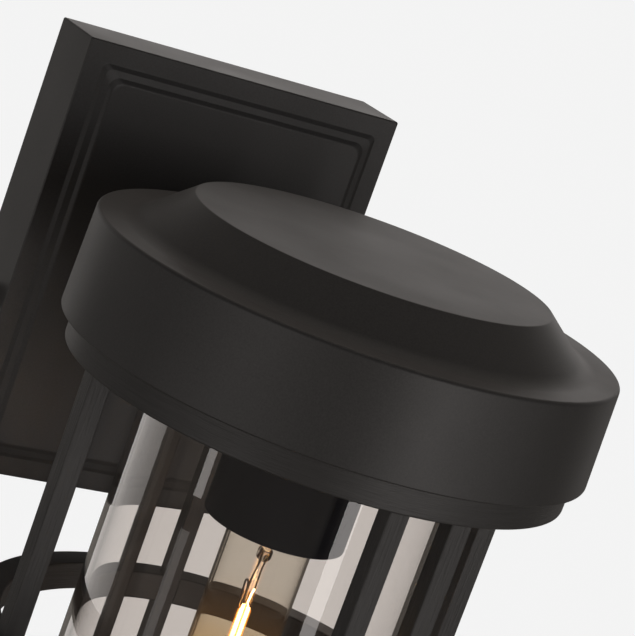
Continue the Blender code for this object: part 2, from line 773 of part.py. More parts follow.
def make_glass(axis):
    """The open glass cylinder between its two lipped gaskets."""
    tube(
        "glass_cylinder",
        GLASS_RADIUS,
        GLASS_RADIUS - GLASS_WALL,
        GLASS_BOTTOM,
        GLASS_TOP,
        ROUND_LARGE,
        clear_glass(),
        edge=GLASS_EDGE,
        parent=axis,
    )
    lip = GLASS_RADIUS + GAP
    outside = lip + GLASS_GASKET_LIP
    for name, seat, way in (("bottom", BASE_PLATE_TOP + GAP, 1), ("top", RING_TOP, -1)):
        floor = seat + way * GLASS_GASKET
        rim = floor + way * GLASS_GASKET_RISE
        outline = [(outside, rim), (outside, seat), (GASKET_INSIDE, seat), (GASKET_INSIDE, floor)]
        outline += [(lip, floor), (lip, rim)]
        turned("glass_gasket_" + name, outline[::way], ROUND_LARGE, silicone(), parent=axis)


def make_socket(axis):
    """The cup under the cap, hung on a hollow nipple, with the lampholder inside it."""
    corners = [
        (STUD_RADIUS + BORE_CLEARANCE, CUP_TOP, 0),
        (CUP_RADIUS, CUP_TOP, CUP_EDGE),
        (CUP_RADIUS, CUP_TOP - CUP_DEPTH, 0),
    ]
    turned(
        "socket_cup",
        rounded(corners, 1),
        ROUND_MIDDLE,
        cup_paint(),
        closed=False,
        sheet=CUP_SHEET,
        parent=axis,
    )
    ends = (HOLDER_BORE_TOP + GAP, NIPPLE_TOP)
    tube("socket_nipple", STUD_RADIUS, STUD_BORE, *ends, ROUND_SMALL, zinc(), parent=axis)
    washer_low = CAP_PLATE_TOP + GAP
    make_washer("nipple_washer", washer_low, parent=axis)
    nut("nipple_nut_top", washer_low + WASHER_THICKNESS + GAP, NUT_HEIGHT, zinc(), parent=axis)
    nut("nipple_nut_bottom", LOW_NUT_TOP - LOW_NUT_HEIGHT, LOW_NUT_HEIGHT, zinc(), parent=axis)

    shell_inside = THREAD_RADIUS + THREAD_CLEARANCE
    shell_outside = shell_inside + HOLDER_SHELL_WALL
    bore = shell_outside + GAP
    hole = STUD_RADIUS + BORE_CLEARANCE
    low = HOLDER_Z - HOLDER_DEPTH
    corners = [
        (hole, HOLDER_Z, 0),
        (HOLDER_RADIUS, HOLDER_Z, HOLDER_EDGE),
        (HOLDER_RADIUS, low, 0),
        (bore, low, 0),
        (bore, HOLDER_BORE_TOP, 0),
        (hole, HOLDER_BORE_TOP, 0),
    ]
    turned("lampholder_body", rounded(corners), ROUND_MIDDLE, porcelain(), parent=axis)
    top = CONTACT_BOTTOM - GAP
    tube("lampholder_shell", shell_outside, shell_inside, low, top, ROUND_MIDDLE, brass(), parent=axis)
    centre = (0, 0, CONTACT_BOTTOM + CONTACT_SIZE[2] / 2)
    block("lampholder_contact", CONTACT_SIZE, centre, brass(), parent=axis)


def make_lamp(lamp):
    """The tubular lamp: contact, insulator, screw shell, envelope, stem, leads and filament."""
    height = LAMP_CONTACT_HEIGHT
    radius = LAMP_CONTACT_RADIUS
    corners = [(0, 0, 0), (radius, -height / 4, height / 2), (radius, -height, 0), (0, -height, 0)]
    turned("bulb_contact", rounded(corners), ROUND_SMALL, solder(), closed=False, parent=lamp)
    top = -height - GAP
    foot = LAMP_HOLE_RADIUS - GAP
    shelf = top - LAMP_INSULATOR_HEIGHT
    outline = [(0, top), (radius, top), (foot, -LAMP_SHELL_TOP), (foot, shelf), (0, shelf)]
    turned("bulb_insulator", outline, ROUND_MIDDLE, dark_glass(), closed=False, parent=lamp)
    corners = [
        (LAMP_HOLE_RADIUS, -LAMP_SHELL_TOP, 0),
        (THREAD_RADIUS, -LAMP_SHELL_TOP - LAMP_SHELL_EDGE, LAMP_SHELL_EDGE),
        (THREAD_RADIUS, -LAMP_SHELL_BOTTOM, 0),
    ]
    turned(
        "bulb_base",
        rounded(corners),
        ROUND_MIDDLE,
        nickel(),
        closed=False,
        sheet=LAMP_SHELL_WALL,
        parent=lamp,
    )

    corners = [
        (LAMP_NECK_RADIUS, -LAMP_NECK_TOP, 0),
        (LAMP_NECK_RADIUS, -LAMP_NECK_BOTTOM, LAMP_NECK_FILLET),
        (LAMP_RADIUS, -LAMP_SHOULDER_BOTTOM, LAMP_SHOULDER_FILLET),
        (LAMP_RADIUS, -LAMP_LENGTH, 0.98 * LAMP_RADIUS),
        (0, -LAMP_LENGTH, 0),
    ]
    turned(
        "bulb_glass",
        rounded(corners, 3),
        ROUND_MIDDLE,
        lamp_glass(),
        closed=False,
        sheet=LAMP_GLASS_WALL,
        parent=lamp,
    )
    flare = LAMP_NECK_RADIUS - LAMP_GLASS_WALL - GAP
    outline = [
        (0, -STEM_TOP),
        (flare, -STEM_TOP),
        (flare, -STEM_TOP - STEM_FOOT),
        (1.5 * STEM_RADIUS, -STEM_TOP - flare),
        (STEM_RADIUS, -STEM_TOP - 1.3 * flare),
        (STEM_RADIUS, -STEM_END + STEM_RADIUS),
        (0.7 * STEM_RADIUS, -STEM_END),
        (0, -STEM_END),
    ]
    turned("bulb_stem", outline, ROUND_SMALL, clear_glass(), closed=False, parent=lamp)
    make_filament(lamp)


def make_filament(lamp):
    """A coiled hairpin filament that hangs from a short lead and a long one."""
    radius = (FILAMENT_RIGHT_X - FILAMENT_LEFT_X) / 2
    middle = (FILAMENT_RIGHT_X + FILAMENT_LEFT_X) / 2
    route = [(FILAMENT_RIGHT_X, 0, -FILAMENT_RIGHT_TOP)]
    for step in range(BEND_STEPS + 1):
        angle = math.pi * step / BEND_STEPS
        route.append((middle + radius * math.cos(angle), 0, -FILAMENT_BEND - radius * math.sin(angle)))
    route.append((FILAMENT_LEFT_X, 0, -FILAMENT_LEFT_TOP))
    wire("bulb_filament", route, FILAMENT_RADIUS, tungsten(), parent=lamp)
    start = -STEM_END - GAP
    half = LEAD_SPACING / 2
    route = [(half, 0, start), (FILAMENT_RIGHT_X, 0, GAP - FILAMENT_RIGHT_TOP)]
    wire("bulb_lead_short", route, LEAD_RADIUS, nickel(), parent=lamp)
    end = GAP - FILAMENT_LEFT_TOP
    route = [
        (-half, 0, start),
        (LONG_LEAD_X, 0, -LONG_LEAD_BULGE),
        (FILAMENT_LEFT_X, 0, end + LEAD_SPACING / 2),
        (FILAMENT_LEFT_X, 0, end),
    ]
    wire("bulb_lead_long", smooth_route(route, 4), LEAD_RADIUS, nickel(), parent=lamp)


def make_wires(stud_ends):
    """Two wires from their nuts in the wall box, through the stud and the cap, down the nipple."""
    rise = ARM_Z + WIRE_RISE
    bore = WIRE_RADIUS + BORE_CLEARANCE
    mouth = WIRE_NUT_Z
    end = mouth + WIRE_NUT_LENGTH
    inside = mouth + WIRE_NUT_LENGTH / 2
    names = (("live", "black", -1, HOLDER_BORE_TOP), ("neutral", "white", 1, HOLDER_BORE_TOP + NEUTRAL_STEP))
    for name, colour, side, low in names:
        x = side * WIRE_SPACING / 2
        start = side * WIRE_NUT_X
        route = [
            (start, -WIRE_NUT_OUT, inside - GAP),
            (start, -WIRE_NUT_OUT, mouth),
            (start, -WIRE_NUT_OUT, mouth - WIRE_BEND / 2),
            (0.7 * start, -WIRE_NUT_OUT, ARM_Z + WIRE_BEND),
            (2 * x, -stud_ends[0] + WIRE_BEND, ARM_Z + WIRE_BEND / 6),
            (x, -stud_ends[0] + WIRE_BEND / 4, ARM_Z),
            (x, -(stud_ends[0] + stud_ends[1]) / 2, ARM_Z),
            (x, -stud_ends[1] - WIRE_BEND / 3, ARM_Z),
            (x, -(stud_ends[1] + AXIS_OUT) / 2, rise),
            (x, -AXIS_OUT + WIRE_BEND, rise),
            (x, -AXIS_OUT + WIRE_BEND / 6, NIPPLE_TOP + WIRE_RISE),
            (x, -AXIS_OUT, NIPPLE_TOP),
            (x, -AXIS_OUT, low),
        ]
        wire("wire_" + name, smooth_route(route, 4), WIRE_RADIUS, wire_coat(colour))
        outline = [(0, end), (0.7 * WIRE_NUT_RADIUS, end), (WIRE_NUT_RADIUS, mouth), (bore, mouth)]
        outline += [(bore, inside), (0, inside)]
        at_nut = (start, -WIRE_NUT_OUT, 0)
        turned("wire_nut_" + name, outline, ROUND_SMALL, plastic(), closed=False, location=at_nut)


def clear_scene():
    """Removes what the scene holds and makes the two collections."""
    for old in list(bpy.data.objects):
        bpy.data.objects.remove(old, do_unlink=True)
    for name in (NAME, "cutters"):
        group = bpy.data.collections.new(name)
        bpy.context.scene.collection.children.link(group)
        group.hide_render = name == "cutters"


def make_empty(name, location, parent=None):
    empty = bpy.data.objects.new(name, None)
    empty.location = location
    empty.parent = parent
    bpy.data.collections[NAME].objects.link(empty)
    return empty


def shade_smooth():
    """Smooth shading on every mesh, sharp at its edges."""
    for body in bpy.data.collections[NAME].objects:
        if body.type == "MESH":
            body.data.shade_smooth()
            body.data.set_sharp_from_angle(angle=math.radians(35))


def main():
    clear_scene()
    axis = make_empty("lantern_axis", (0, -AXIS_OUT, 0))
    lamp = make_empty("lamp_axis", (0, 0, LAMP_TIP_Z), axis)
    make_bores()
    make_bracket()
    make_wall_box()
    make_side_screws()
    stud_ends = make_arm()
    make_cap(axis)
    make_rings(axis)
    make_bars(axis)
    make_base_plate(axis)
    make_glass(axis)
    make_socket(axis)
    make_lamp(lamp)
    make_wires(stud_ends)
    shade_smooth()


main()
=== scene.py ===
"""The looks of the outdoor wall lantern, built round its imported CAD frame.

Metres, in the CAD frame: the wall is y = 0, the lantern hangs at -Y, +Z is up.
"""

from math import cos, pi, radians, sin, tan

import bmesh
import bpy
from mathutils import Matrix, Vector


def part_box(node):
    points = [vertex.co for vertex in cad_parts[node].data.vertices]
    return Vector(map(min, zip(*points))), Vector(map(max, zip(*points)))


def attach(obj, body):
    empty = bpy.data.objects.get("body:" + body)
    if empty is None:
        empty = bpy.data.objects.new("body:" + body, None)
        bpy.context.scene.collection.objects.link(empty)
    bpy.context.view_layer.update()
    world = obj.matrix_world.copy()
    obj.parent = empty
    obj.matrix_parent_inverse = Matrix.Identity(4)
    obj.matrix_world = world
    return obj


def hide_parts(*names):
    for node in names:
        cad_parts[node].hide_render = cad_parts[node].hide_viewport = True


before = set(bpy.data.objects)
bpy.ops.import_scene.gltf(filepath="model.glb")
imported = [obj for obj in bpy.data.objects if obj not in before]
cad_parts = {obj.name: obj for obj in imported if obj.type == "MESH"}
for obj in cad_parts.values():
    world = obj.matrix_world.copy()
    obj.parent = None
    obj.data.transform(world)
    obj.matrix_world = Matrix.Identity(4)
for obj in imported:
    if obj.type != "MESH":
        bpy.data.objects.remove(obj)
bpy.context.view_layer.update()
bpy.context.scene.view_settings.view_transform = "Standard"

# Camera: seen from the front left and a little above, rolled to the right
AZIMUTH = radians(-31.046)
ELEVATION = radians(12.044)
ROLL = radians(19.953)
DISTANCE = 0.89143
PAN = (-0.015749, -0.010157)
LENS = 139.41
SENSOR = 36.0
CLIP_START = 0.01

# Detail of the fine meshes
ROUND_FINEST = 256
ROUND_LARGE = 192
ROUND_MIDDLE = 96
ROUND_SMALL = 48
ARC_STEPS = 6
MERGE_TURNED = 0.000005
MERGE_WIRE = 0.000001

# Turns that lay a piece's own Z along an axis
UPRIGHT = (0, 0, 0)
ALONG_X = (0, pi / 2, 0)
ALONG_Y = (pi / 2, 0, 0)

# Fits and holes, and the lengths of the tools that cut them
FIT = 0.0003
WELD_GAP = 0.0002
STUD_HOLE = 0.0053
STUD_BORE = 0.0035
SCREW_HOLE = 0.0023
SINK = (0.004, 0.009)
TAP = (SCREW_HOLE, 0.0152)
NOTCH_REACH = 0.006
CUT_SHORT = 0.02
CUT_PAST = 0.01
CUT_PLATE = 0.03
CUT_CAP = 0.06
CUT_ACROSS = 0.3

# Screws, nuts and washers
SCREW_RADIUS = 0.002
SCREW_HEAD = (0.0037, 0.0024)
SHANK_COLLAR = (0.0021, 0.0004)
SCREW_PITCH = 0.0007
SCREW_THREAD = 0.0004
SCREW_TIP = 0.0006
RECESS_HALF = 0.0004
KNOB_HEIGHT = 0.005
KNOB_TEETH = 28
KNOB_TOOTH = 0.00035
KNOB_CHAMFER = 0.0006
DISH_SHARE = 0.62
DISH_LENGTH = 0.0016
NUT_CHAMFER = 0.0008
NUT_FLAT = 0.49
STUD_PITCH = 0.001
STUD_THREAD = 0.0005
STUD_TIP = 0.0008
WASHER_RADIUS = 0.010
WASHER_EDGE = 0.0002

# Wall box, bracket and gasket
BOX_SHEET = 0.0015
BOX_CORNERS = ((0.0, 0.0008), (0.0082, 0.0025), (0.0145, 0.0050))
BOX_EDGE = 0.0007
PANEL_FIRST = (0.0082, 0.0100)
PANEL_SECOND = (0.0126, 0.0144)
PANEL_RISES = (0.0009, 0.0014, 0.0024)
PANEL_SOFTNESS = 0.0011
PANEL_FLAT = 0.020
FLUSH = 0.000001
BRACKET_SHEET = 0.002
BRACKET_BEND = 0.0028
BRACKET_EDGE = 0.00025
SLOT_OFFSET = 0.0414
SLOT_HALF = (0.005, 0.0025)
GASKET_WIDTH = 0.00525
GASKET_EDGE = 0.0004

# Arm and wiring
ARM_WALL = 0.002
ARM_EDGE = 0.0004
ARM_SURPLUS = 0.02
SLEEVE_RADIUS = 0.0009
WIRE_OFFSET = 0.0012
RIB_COUNT = 12
RIB_DEPTH = 0.0004
NUT_MOUTH = 0.0012

# Cap
CAP_SHEET = 0.0012
CAP_DRAFT = 0.0012
HAT_RISE = 0.01505
HAT_TOP_INSET = 0.03174
HAT_FOOT_INSET = 0.0135
HAT_FILLET = 0.012
HAT_EDGE = 0.0010
CAP_EDGE = 0.0015
CAP_LIP = 0.0008
CAP_CUT_EDGE = 0.00058

# Cage and base
BAR_SIDES = ("left", "right", "front_left", "front_right", "back_left", "back_right")
BAR_EDGE = 0.0006
RING_WIDTH = 0.0142
RING_EDGE = 0.0008
HOOP_WIDTH = 0.0109
HOOP_EDGE = 0.0008
BASE_EDGE = 0.0005

# Glass and its seals
GLASS_WALL = 0.004
GLASS_EDGE = 0.0012
SEAL_LIP = 0.0025
SEAL_FLOOR = 0.0015
SEAL_FOOT = 0.001
SEAL_EDGE = 0.0004
SEAL_RIM = 0.0008

# Cup and lampholder
CUP_SHEET = 0.0012
CUP_EDGE = 0.0015
CUP_CUT_EDGE = 0.0004
HOLDER_STEP = 0.0008
HOLDER_ROOF = 0.006
SHELL_WALL = 0.0006
SHELL_WAVE = 0.0001
SHELL_SKIN = 0.00001
TONGUE_EDGE = 0.0002

# Lamp
LAMP_WALL = 0.0009
LAMP_NECK = 0.0118
NECK_LENGTH = 0.019
SHOULDER_DROP = 0.025
BASE_SHEET = 0.0003
THREAD_PITCH = 0.003629
THREAD_DEPTH = 0.0007
STEM_FLARE = 0.0105
LEAD_WIRE = 0.00036
STRAND_X = (-0.0010, 0.0015)
STRAND_TOPS = (-0.0554, -0.0566)
STRAND_BOTTOM = -0.0925
STRAND_WIRE = 0.00022
BEND_WIRE = 0.0004
TAIL_WIRE = 0.0003
COIL_RADIUS = 0.00070
COIL_PITCH = 0.00052
GLOW_RADIUS = 0.00150
GLOW_END = 0.0011

# Paint: how coarse its clouds, its orange peel and its grain are
CLOUD_SCALE = 22
PEEL_SCALE = 420
GRAIN_SCALE = 1500

# Colours
BLACK = (0.0232, 0.0217, 0.0210)
# Painted glow: the lamp glass itself is made to shine faintly orange, strongest at its bottom
PAINTED_GLOW = 0.034
PAINTED_GLOW_COLOUR = (1.0, 0.52, 0.17)
WARM = (1.0, 0.93, 0.85)
PALE = (1.0, 0.955, 0.93)
LAMP_LIGHT = (1.0, 0.52, 0.20)

# The studio: its brightness where it is seen, where it is mirrored, and as soft light
SEEN_LIGHT = 0.90
GLOSS_LIGHT = 0.050
SOFT_LIGHT = 0.12
LAMP_POWER = 0.02
LAMP_SIZE = 0.006
SUN_POWER = 4.0
SUN_WIDTH = radians(50)
SUN_AZIMUTH = radians(59)
SUN_ELEVATION = radians(50)
FLOOR_REACH = 60
FLOOR_DEPTH = -1.4

# Soft boxes: name, azimuth, elevation, distance, (width, height), power
SHARED_BOXES = (
    ("front_strip", -77, -4, 1.8, (0.38, 1.8), 9.2),
    ("slim_strip_1", -59, -4, 1.8, (0.12, 1.8), 1.5),
    ("slim_strip_2", -40, -4, 1.8, (0.12, 1.8), 1.2),
    ("small_box_1", -178, -11.2, 1.8, (0.20, 0.34), 0.70),
    ("small_box_2", -178, -20, 1.8, (0.22, 0.14), 0.10),
)
PAINT_BOXES = (
    ("side_box", -149, 0, 1.8, (0.6, 1.4), 5.2),
    ("back_box", 59, 12, 2.6, (2.4, 1.0), 8.4),
    ("left_back_box", 98, 0, 2.4, (1.0, 1.6), 3.0),
    ("left_box", 143, 4, 2.4, (0.9, 1.6), 2.6),
    ("right_box", 21, 4, 2.4, (0.8, 1.6), 1.6),
)
GLASS_BOX = ("left_glass_box", 115, -12, 2.4, (1.8, 1.2), 9.0)


def centre_of(node):
    """The middle of a CAD node."""
    low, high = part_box(node)
    return (low + high) / 2


def barrel(node):
    """The lowest and the highest level of a CAD node, and half its width."""
    low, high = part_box(node)
    return low.z, high.z, (high.x - low.x) / 2


def screw_places(kind):
    """The centres of the four cage or base screws, seen from above."""
    return [centre_of(f"{kind}_screw_{index + 1}").xy for index in range(4)]


AXIS = centre_of("cap_shell")
AXIS.z = 0
CAP_LOW, CAP_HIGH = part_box("cap_shell")
CAP_RADIUS = barrel("cap_shell")[2] - CAP_DRAFT
SHOULDER_Z = CAP_HIGH.z - HAT_RISE


# ---- shapes


def rounded(corners, steps=ARC_STEPS, closed=False):
    """The points of an outline whose corners (across, height, radius) are turned into arcs."""
    points = []
    count = len(corners)
    for index, (across, height, radius) in enumerate(corners):
        here = Vector((across, height))
        inside = closed or 0 < index < count - 1
        if not radius or not inside:
            points.append(here)
            continue
        before = (Vector(corners[index - 1][:2]) - here).normalized()
        after = (Vector(corners[(index + 1) % count][:2]) - here).normalized()
        half = before.angle(after) / 2
        centre = here + (before + after).normalized() * radius / sin(half)
        start = here + before * radius / tan(half) - centre
        end = here + after * radius / tan(half) - centre
        sweep = start.angle_signed(end)
        for step in range(steps + 1):
            points.append(centre + Matrix.Rotation(-sweep * step / steps, 2) @ start)
    return [tuple(point) for point in points]


def new_piece(name, data, location=(0, 0, 0), turn=UPRIGHT):
    """Puts a mesh, curve, light or camera into the scene."""
    body = bpy.data.objects.new(name, data)
    body.location = location
    body.rotation_euler = turn
    bpy.context.scene.collection.objects.link(body)
    return body


def from_shape(name, shape, location=(0, 0, 0), turn=UPRIGHT):
    """Puts a bmesh into the scene, and frees it."""
    mesh = bpy.data.meshes.new(name)
    shape.to_mesh(mesh)
    shape.free()
    return new_piece(name, mesh, location, turn)


def evaluated_mesh(body):
    """A piece's mesh with its modifiers, or a curve's thickness, turned into mesh."""
    bpy.context.view_layer.update()
    graph = bpy.context.evaluated_depsgraph_get()
    return bpy.data.meshes.new_from_object(body.evaluated_get(graph))


def bake(body):
    """Turns the modifiers into mesh."""
    mesh = evaluated_mesh(body)
    body.modifiers.clear()
    body.data = mesh


def thicken(body, sheet, offset=-1, even=True):
    """Gives a surface the thickness of its sheet, inwards unless the offset says otherwise."""
    wall = body.modifiers.new("sheet", "SOLIDIFY")
    wall.thickness = sheet
    wall.offset = offset
    wall.use_even_offset = even


def soften(body, width, segments=2, limit=30):
    """Rounds the edges at which a piece turns by more than the limit in degrees."""
    edges = body.modifiers.new("edges", "BEVEL")
    edges.width = width
    edges.segments = segments
    edges.limit_method = "ANGLE"
    edges.angle_limit = radians(limit)
    bake(body)


def turned(name, outline, flats=ROUND_LARGE, sheet=0.0, location=AXIS, turn=UPRIGHT):
    """A turned piece. Its outline is closed unless it is a sheet or starts on the axis."""
    mesh = bpy.data.meshes.new(name)
    count = len(outline)
    links = [(index, index + 1) for index in range(count - 1)]
    if not sheet and outline[0][0]:
        links.append((count - 1, 0))
    mesh.from_pydata([(across, 0, height) for across, height in outline], links, [])
    body = new_piece(name, mesh, location, turn)
    spin = body.modifiers.new("turn", "SCREW")
    spin.steps = spin.render_steps = flats
    spin.use_merge_vertices = True
    spin.merge_threshold = MERGE_TURNED
    if sheet:
        thicken(body, sheet)
    bake(body)
    return body


def ring(name, outside, inside, low, high, edge=0.0, flats=ROUND_LARGE, steps=3, **placing):
    """A ring along its own Z with all four edges rounded."""
    corners = [(outside, high, edge), (outside, low, edge), (inside, low, edge), (inside, high, edge)]
    return turned(name, rounded(corners, steps, closed=True), flats, **placing)


def loft(name, rings, location=(0, 0, 0), turn=UPRIGHT):
    """Skins a list of rings of points, and caps the first and the last."""
    shape = bmesh.new()
    rows = [[shape.verts.new(point) for point in row] for row in rings]
    for upper, lower in zip(rows, rows[1:]):
        count = len(upper)
        for index in range(count):
            after = (index + 1) % count
            shape.faces.new((upper[index], upper[after], lower[after], lower[index]))
    shape.faces.new(rows[0][::-1])
    shape.faces.new(rows[-1])
    bmesh.ops.recalc_face_normals(shape, faces=shape.faces)
    return from_shape(name, shape, location, turn)


def toothed(levels, teeth, depth):
    """Rings of points from (height, radius, whether teeth are cut there)."""
    count = teeth * 4
    rings = []
    for height, radius, cut in levels:
        row = []
        for index in range(count):
            angle = 2 * pi * index / count
            across = radius - (depth if cut and index % 4 in (2, 3) else 0)
            row.append((across * cos(angle), across * sin(angle), height))
        rings.append(row)
    return rings


def block(name, low, high, edge=0.0, segments=3):
    """A box between two corners with rounded edges."""
    shape = bmesh.new()
    bmesh.ops.create_cube(shape, size=1)
    size = [b - a for a, b in zip(low, high, strict=True)]
    middle = [(a + b) / 2 for a, b in zip(low, high, strict=True)]
    bmesh.ops.scale(shape, vec=size, verts=shape.verts)
    if edge:
        edges = list(shape.edges)
        bmesh.ops.bevel(shape, geom=edges, offset=edge, segments=segments, profile=0.5, affect="EDGES")
    return from_shape(name, shape, middle)


def cylinder_tool(name, radius, length, location, turn=UPRIGHT, sides=ROUND_SMALL):
    """A plain cylinder centred on a point, to cut with or to start from."""
    shape = bmesh.new()
    bmesh.ops.create_cone(shape, cap_ends=True, segments=sides, radius1=radius, radius2=radius, depth=length)
    return from_shape(name, shape, location, turn)


def carve(body, *tools, operation="DIFFERENCE"):
    """Cuts each tool out of the body, and removes the tools."""
    for tool in tools:
        cut = body.modifiers.new(tool.name, "BOOLEAN")
        cut.operation = operation
        cut.object = tool
    bake(body)
    for tool in tools:
        bpy.data.objects.remove(tool, do_unlink=True)


def rectangle_ring(half_width, half_height, radius, out, rise, steps=8):
    """A rounded rectangle's points in a plane parallel to the wall."""
    points = []
    for corner, (sx, sz) in enumerate(((1, 1), (-1, 1), (-1, -1), (1, -1))):
        for step in range(steps + 1):
            angle = pi / 2 * (corner + step / steps)
            x = sx * (half_width - radius) + radius * cos(angle)
            z = sz * (half_height - radius) + radius * sin(angle)
            points.append((x, -out, rise + z))
    return points


def smooth_route(points, pieces=10):
    """Points along a smooth curve through the given ones (Catmull-Rom)."""
    knots = [Vector(point) for point in points]
    knots = [2 * knots[0] - knots[1], *knots, 2 * knots[-1] - knots[-2]]
    route = []
    for a, b, c, d in zip(knots, knots[1:], knots[2:], knots[3:]):
        for step in range(pieces):
            t = step / pieces
            cubic = b * 3 - a - c * 3 + d
            square = a * 2 - b * 5 + c * 4 - d
            route.append((b * 2 + (c - a) * t + square * t**2 + cubic * t**3) / 2)
    return [*route, knots[-2]]


def wire(name, route, radius, location=(0, 0, 0)):
    """A round wire through a list of points."""
    curve = bpy.data.curves.new(name, "CURVE")
    curve.dimensions = "3D"
    curve.bevel_depth = radius
    curve.bevel_resolution = 4
    curve.use_fill_caps = True
    spline = curve.splines.new("POLY")
    spline.points.add(len(route) - 1)
    for point, place in zip(spline.points, route, strict=True):
        point.co = (*place, 1)
    body = new_piece(name, curve, location)
    mesh = evaluated_mesh(body)
    shape = bmesh.new()
    shape.from_mesh(mesh)
    bmesh.ops.remove_doubles(shape, verts=shape.verts, dist=MERGE_WIRE)
    shape.to_mesh(mesh)
    shape.free()
    bpy.data.objects.remove(body, do_unlink=True)
    return new_piece(name, mesh, location)


def show(body, finish, slot, *nodes, rides="fixture", angle=38):
    """Gives a piece its finish, smooth shading and its body, and hides the CAD nodes that it stands for."""
    body.data.materials.clear()
    body.data.materials.append(finish)
    body.data.shade_smooth()
    body.data.set_sharp_from_angle(angle=radians(angle))
    keep = body.modifiers.new("normals", "WEIGHTED_NORMAL")
    keep.keep_sharp = True
    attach(body, rides)
    if nodes:
        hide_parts(*nodes)
    return body


# ---- materials


def fill(node, **values):
    """Sets a node's own inputs, whose names have _ for a blank here."""
    for socket, value in values.items():
        node.inputs[socket.replace("_", " ")].default_value = value
    return node


def add_node(tree, kind, **values):
    """A new shader node with its inputs set."""
    return fill(tree.nodes.new("ShaderNode" + kind), **values)


def start_material(name, colour, roughness, metallic=0.0, **sockets):
    """A Principled material, its nodes and its shader. Fixed values sit on its own sockets."""
    made = bpy.data.materials.new(name)
    made.use_nodes = True
    made.diffuse_color = (*colour, 1)
    shader = made.node_tree.nodes["Principled BSDF"]
    fill(shader, Base_Color=(*colour, 1), Roughness=roughness, Metallic=metallic, **sockets)
    return made, made.node_tree, shader


def start_glow(name, strength, blend):
    """A material that only shines: itself, its nodes, its light, and how far a point faces away."""
    made = bpy.data.materials.new(name)
    made.use_nodes = True
    tree = made.node_tree
    tree.nodes.remove(tree.nodes["Principled BSDF"])
    light = add_node(tree, "Emission", Strength=strength)
    return made, tree, light, add_node(tree, "LayerWeight", Blend=blend).outputs["Facing"]


def noise(tree, scale, detail=3.0, stretch=(1, 1, 1), roughness=0.5):
    """A noise texture in the piece's own metres, which can be stretched."""
    place = add_node(tree, "TexCoord")
    mapping = add_node(tree, "Mapping", Scale=stretch)
    texture = add_node(tree, "TexNoise", Scale=scale, Detail=detail, Roughness=roughness)
    tree.links.new(place.outputs["Object"], mapping.inputs["Vector"])
    tree.links.new(mapping.outputs["Vector"], texture.inputs["Vector"])
    return texture.outputs["Fac"]


def map_range(tree, source, start, end, low=0.0, high=1.0, interpolation="LINEAR"):
    """A number from one range carried over to another."""
    node = add_node(tree, "MapRange", From_Min=start, From_Max=end, To_Min=low, To_Max=high)
    node.interpolation_type = interpolation
    tree.links.new(source, node.inputs["Value"])
    return node.outputs["Result"]


def vary(tree, source, low, high, socket):
    """Drives a number from a texture, whose values lie mostly between 0.3 and 0.7."""
    tree.links.new(map_range(tree, source, 0.3, 0.7, low, high), socket)


def combine(tree, operation, *inputs):
    """A maths node, which takes sockets and numbers."""
    node = add_node(tree, "Math")
    node.operation = operation
    for index, source in enumerate(inputs):
        if isinstance(source, (int, float)):
            node.inputs[index].default_value = source
        else:
            tree.links.new(source, node.inputs[index])
    return node.outputs["Value"]


def tint(tree, source, dark, light, socket):
    """Drives a colour from a texture."""
    blend = add_node(tree, "Mix")
    blend.data_type = "RGBA"
    fill(blend, A=(*dark, 1), B=(*light, 1))
    tree.links.new(source, blend.inputs["Factor"])
    tree.links.new(blend.outputs["Result"], socket)


def bump(tree, shader, heights):
    """Chains bumps of (height source, strength, distance) into the shader's normal."""
    before = None
    for source, strength, distance in heights:
        node = add_node(tree, "Bump", Strength=strength, Distance=distance)
        tree.links.new(source, node.inputs["Height"])
        if before:
            tree.links.new(before, node.inputs["Normal"])
        before = node.outputs["Normal"]
    tree.links.new(before, shader.inputs["Normal"])


def overlay(tree, lower, upper, share):
    """Shows one surface over another by a share from 0 to 1."""
    mix = add_node(tree, "MixShader")
    tree.links.new(share, mix.inputs["Fac"])
    tree.links.new(lower, mix.inputs[1])
    tree.links.new(upper, mix.inputs[2])
    tree.links.new(mix.outputs["Shader"], tree.nodes["Material Output"].inputs["Surface"])


def painted(name, colour, roughness, stretch=None):
    """Powder coat: a fine grain and a soft cloud in the gloss, over brush marks if it is stretched."""
    made, tree, shader = start_material(name, colour, roughness)
    cloud = noise(tree, CLOUD_SCALE)
    fine = noise(tree, GRAIN_SCALE)
    peel = noise(tree, PEEL_SCALE)
    vary(tree, cloud, roughness - 0.03, roughness + 0.04, shader.inputs["Roughness"])
    dark = [value * 0.5 for value in colour]
    light = [value * 1.55 for value in colour]
    heights = [(peel, 0.04, 0.0002), (fine, 0.25, 0.00006)]
    marks = fine
    if stretch:
        marks = noise(tree, PEEL_SCALE, 4, stretch, 0.7)
        heights.append((marks, 1.0, 0.00030))
    tint(tree, marks, dark, light, shader.inputs["Base Color"])
    bump(tree, shader, heights)
    return made


def cloudy(tree, shader, scale, colour, share, low, high):
    """Soft clouds in a surface's gloss, and in its colour down to a share of it."""
    cloud = noise(tree, scale)
    vary(tree, cloud, low, high, shader.inputs["Roughness"])
    tint(tree, cloud, [value * share for value in colour], colour, shader.inputs["Base Color"])


def metal(name, colour, roughness):
    """Plated metal with fine drawing marks."""
    made, tree, shader = start_material(name, colour, roughness, 1.0)
    marks = noise(tree, 500, 5, (1, 1, 8), 0.6)
    cloudy(tree, shader, 40, colour, 0.86, roughness - 0.06, roughness + 0.08)
    bump(tree, shader, [(marks, 0.12, 0.00008)])
    return made


def moulded(name, colour, roughness, grain=0.15, scale=900, **sockets):
    """Rubber, plastic or glaze with a fine surface."""
    made, tree, shader = start_material(name, colour, roughness, **sockets)
    cloudy(tree, shader, 60, colour, 0.9, roughness - 0.05, roughness + 0.05)
    if grain:
        bump(tree, shader, [(noise(tree, scale), grain, 0.00005)])
    return made


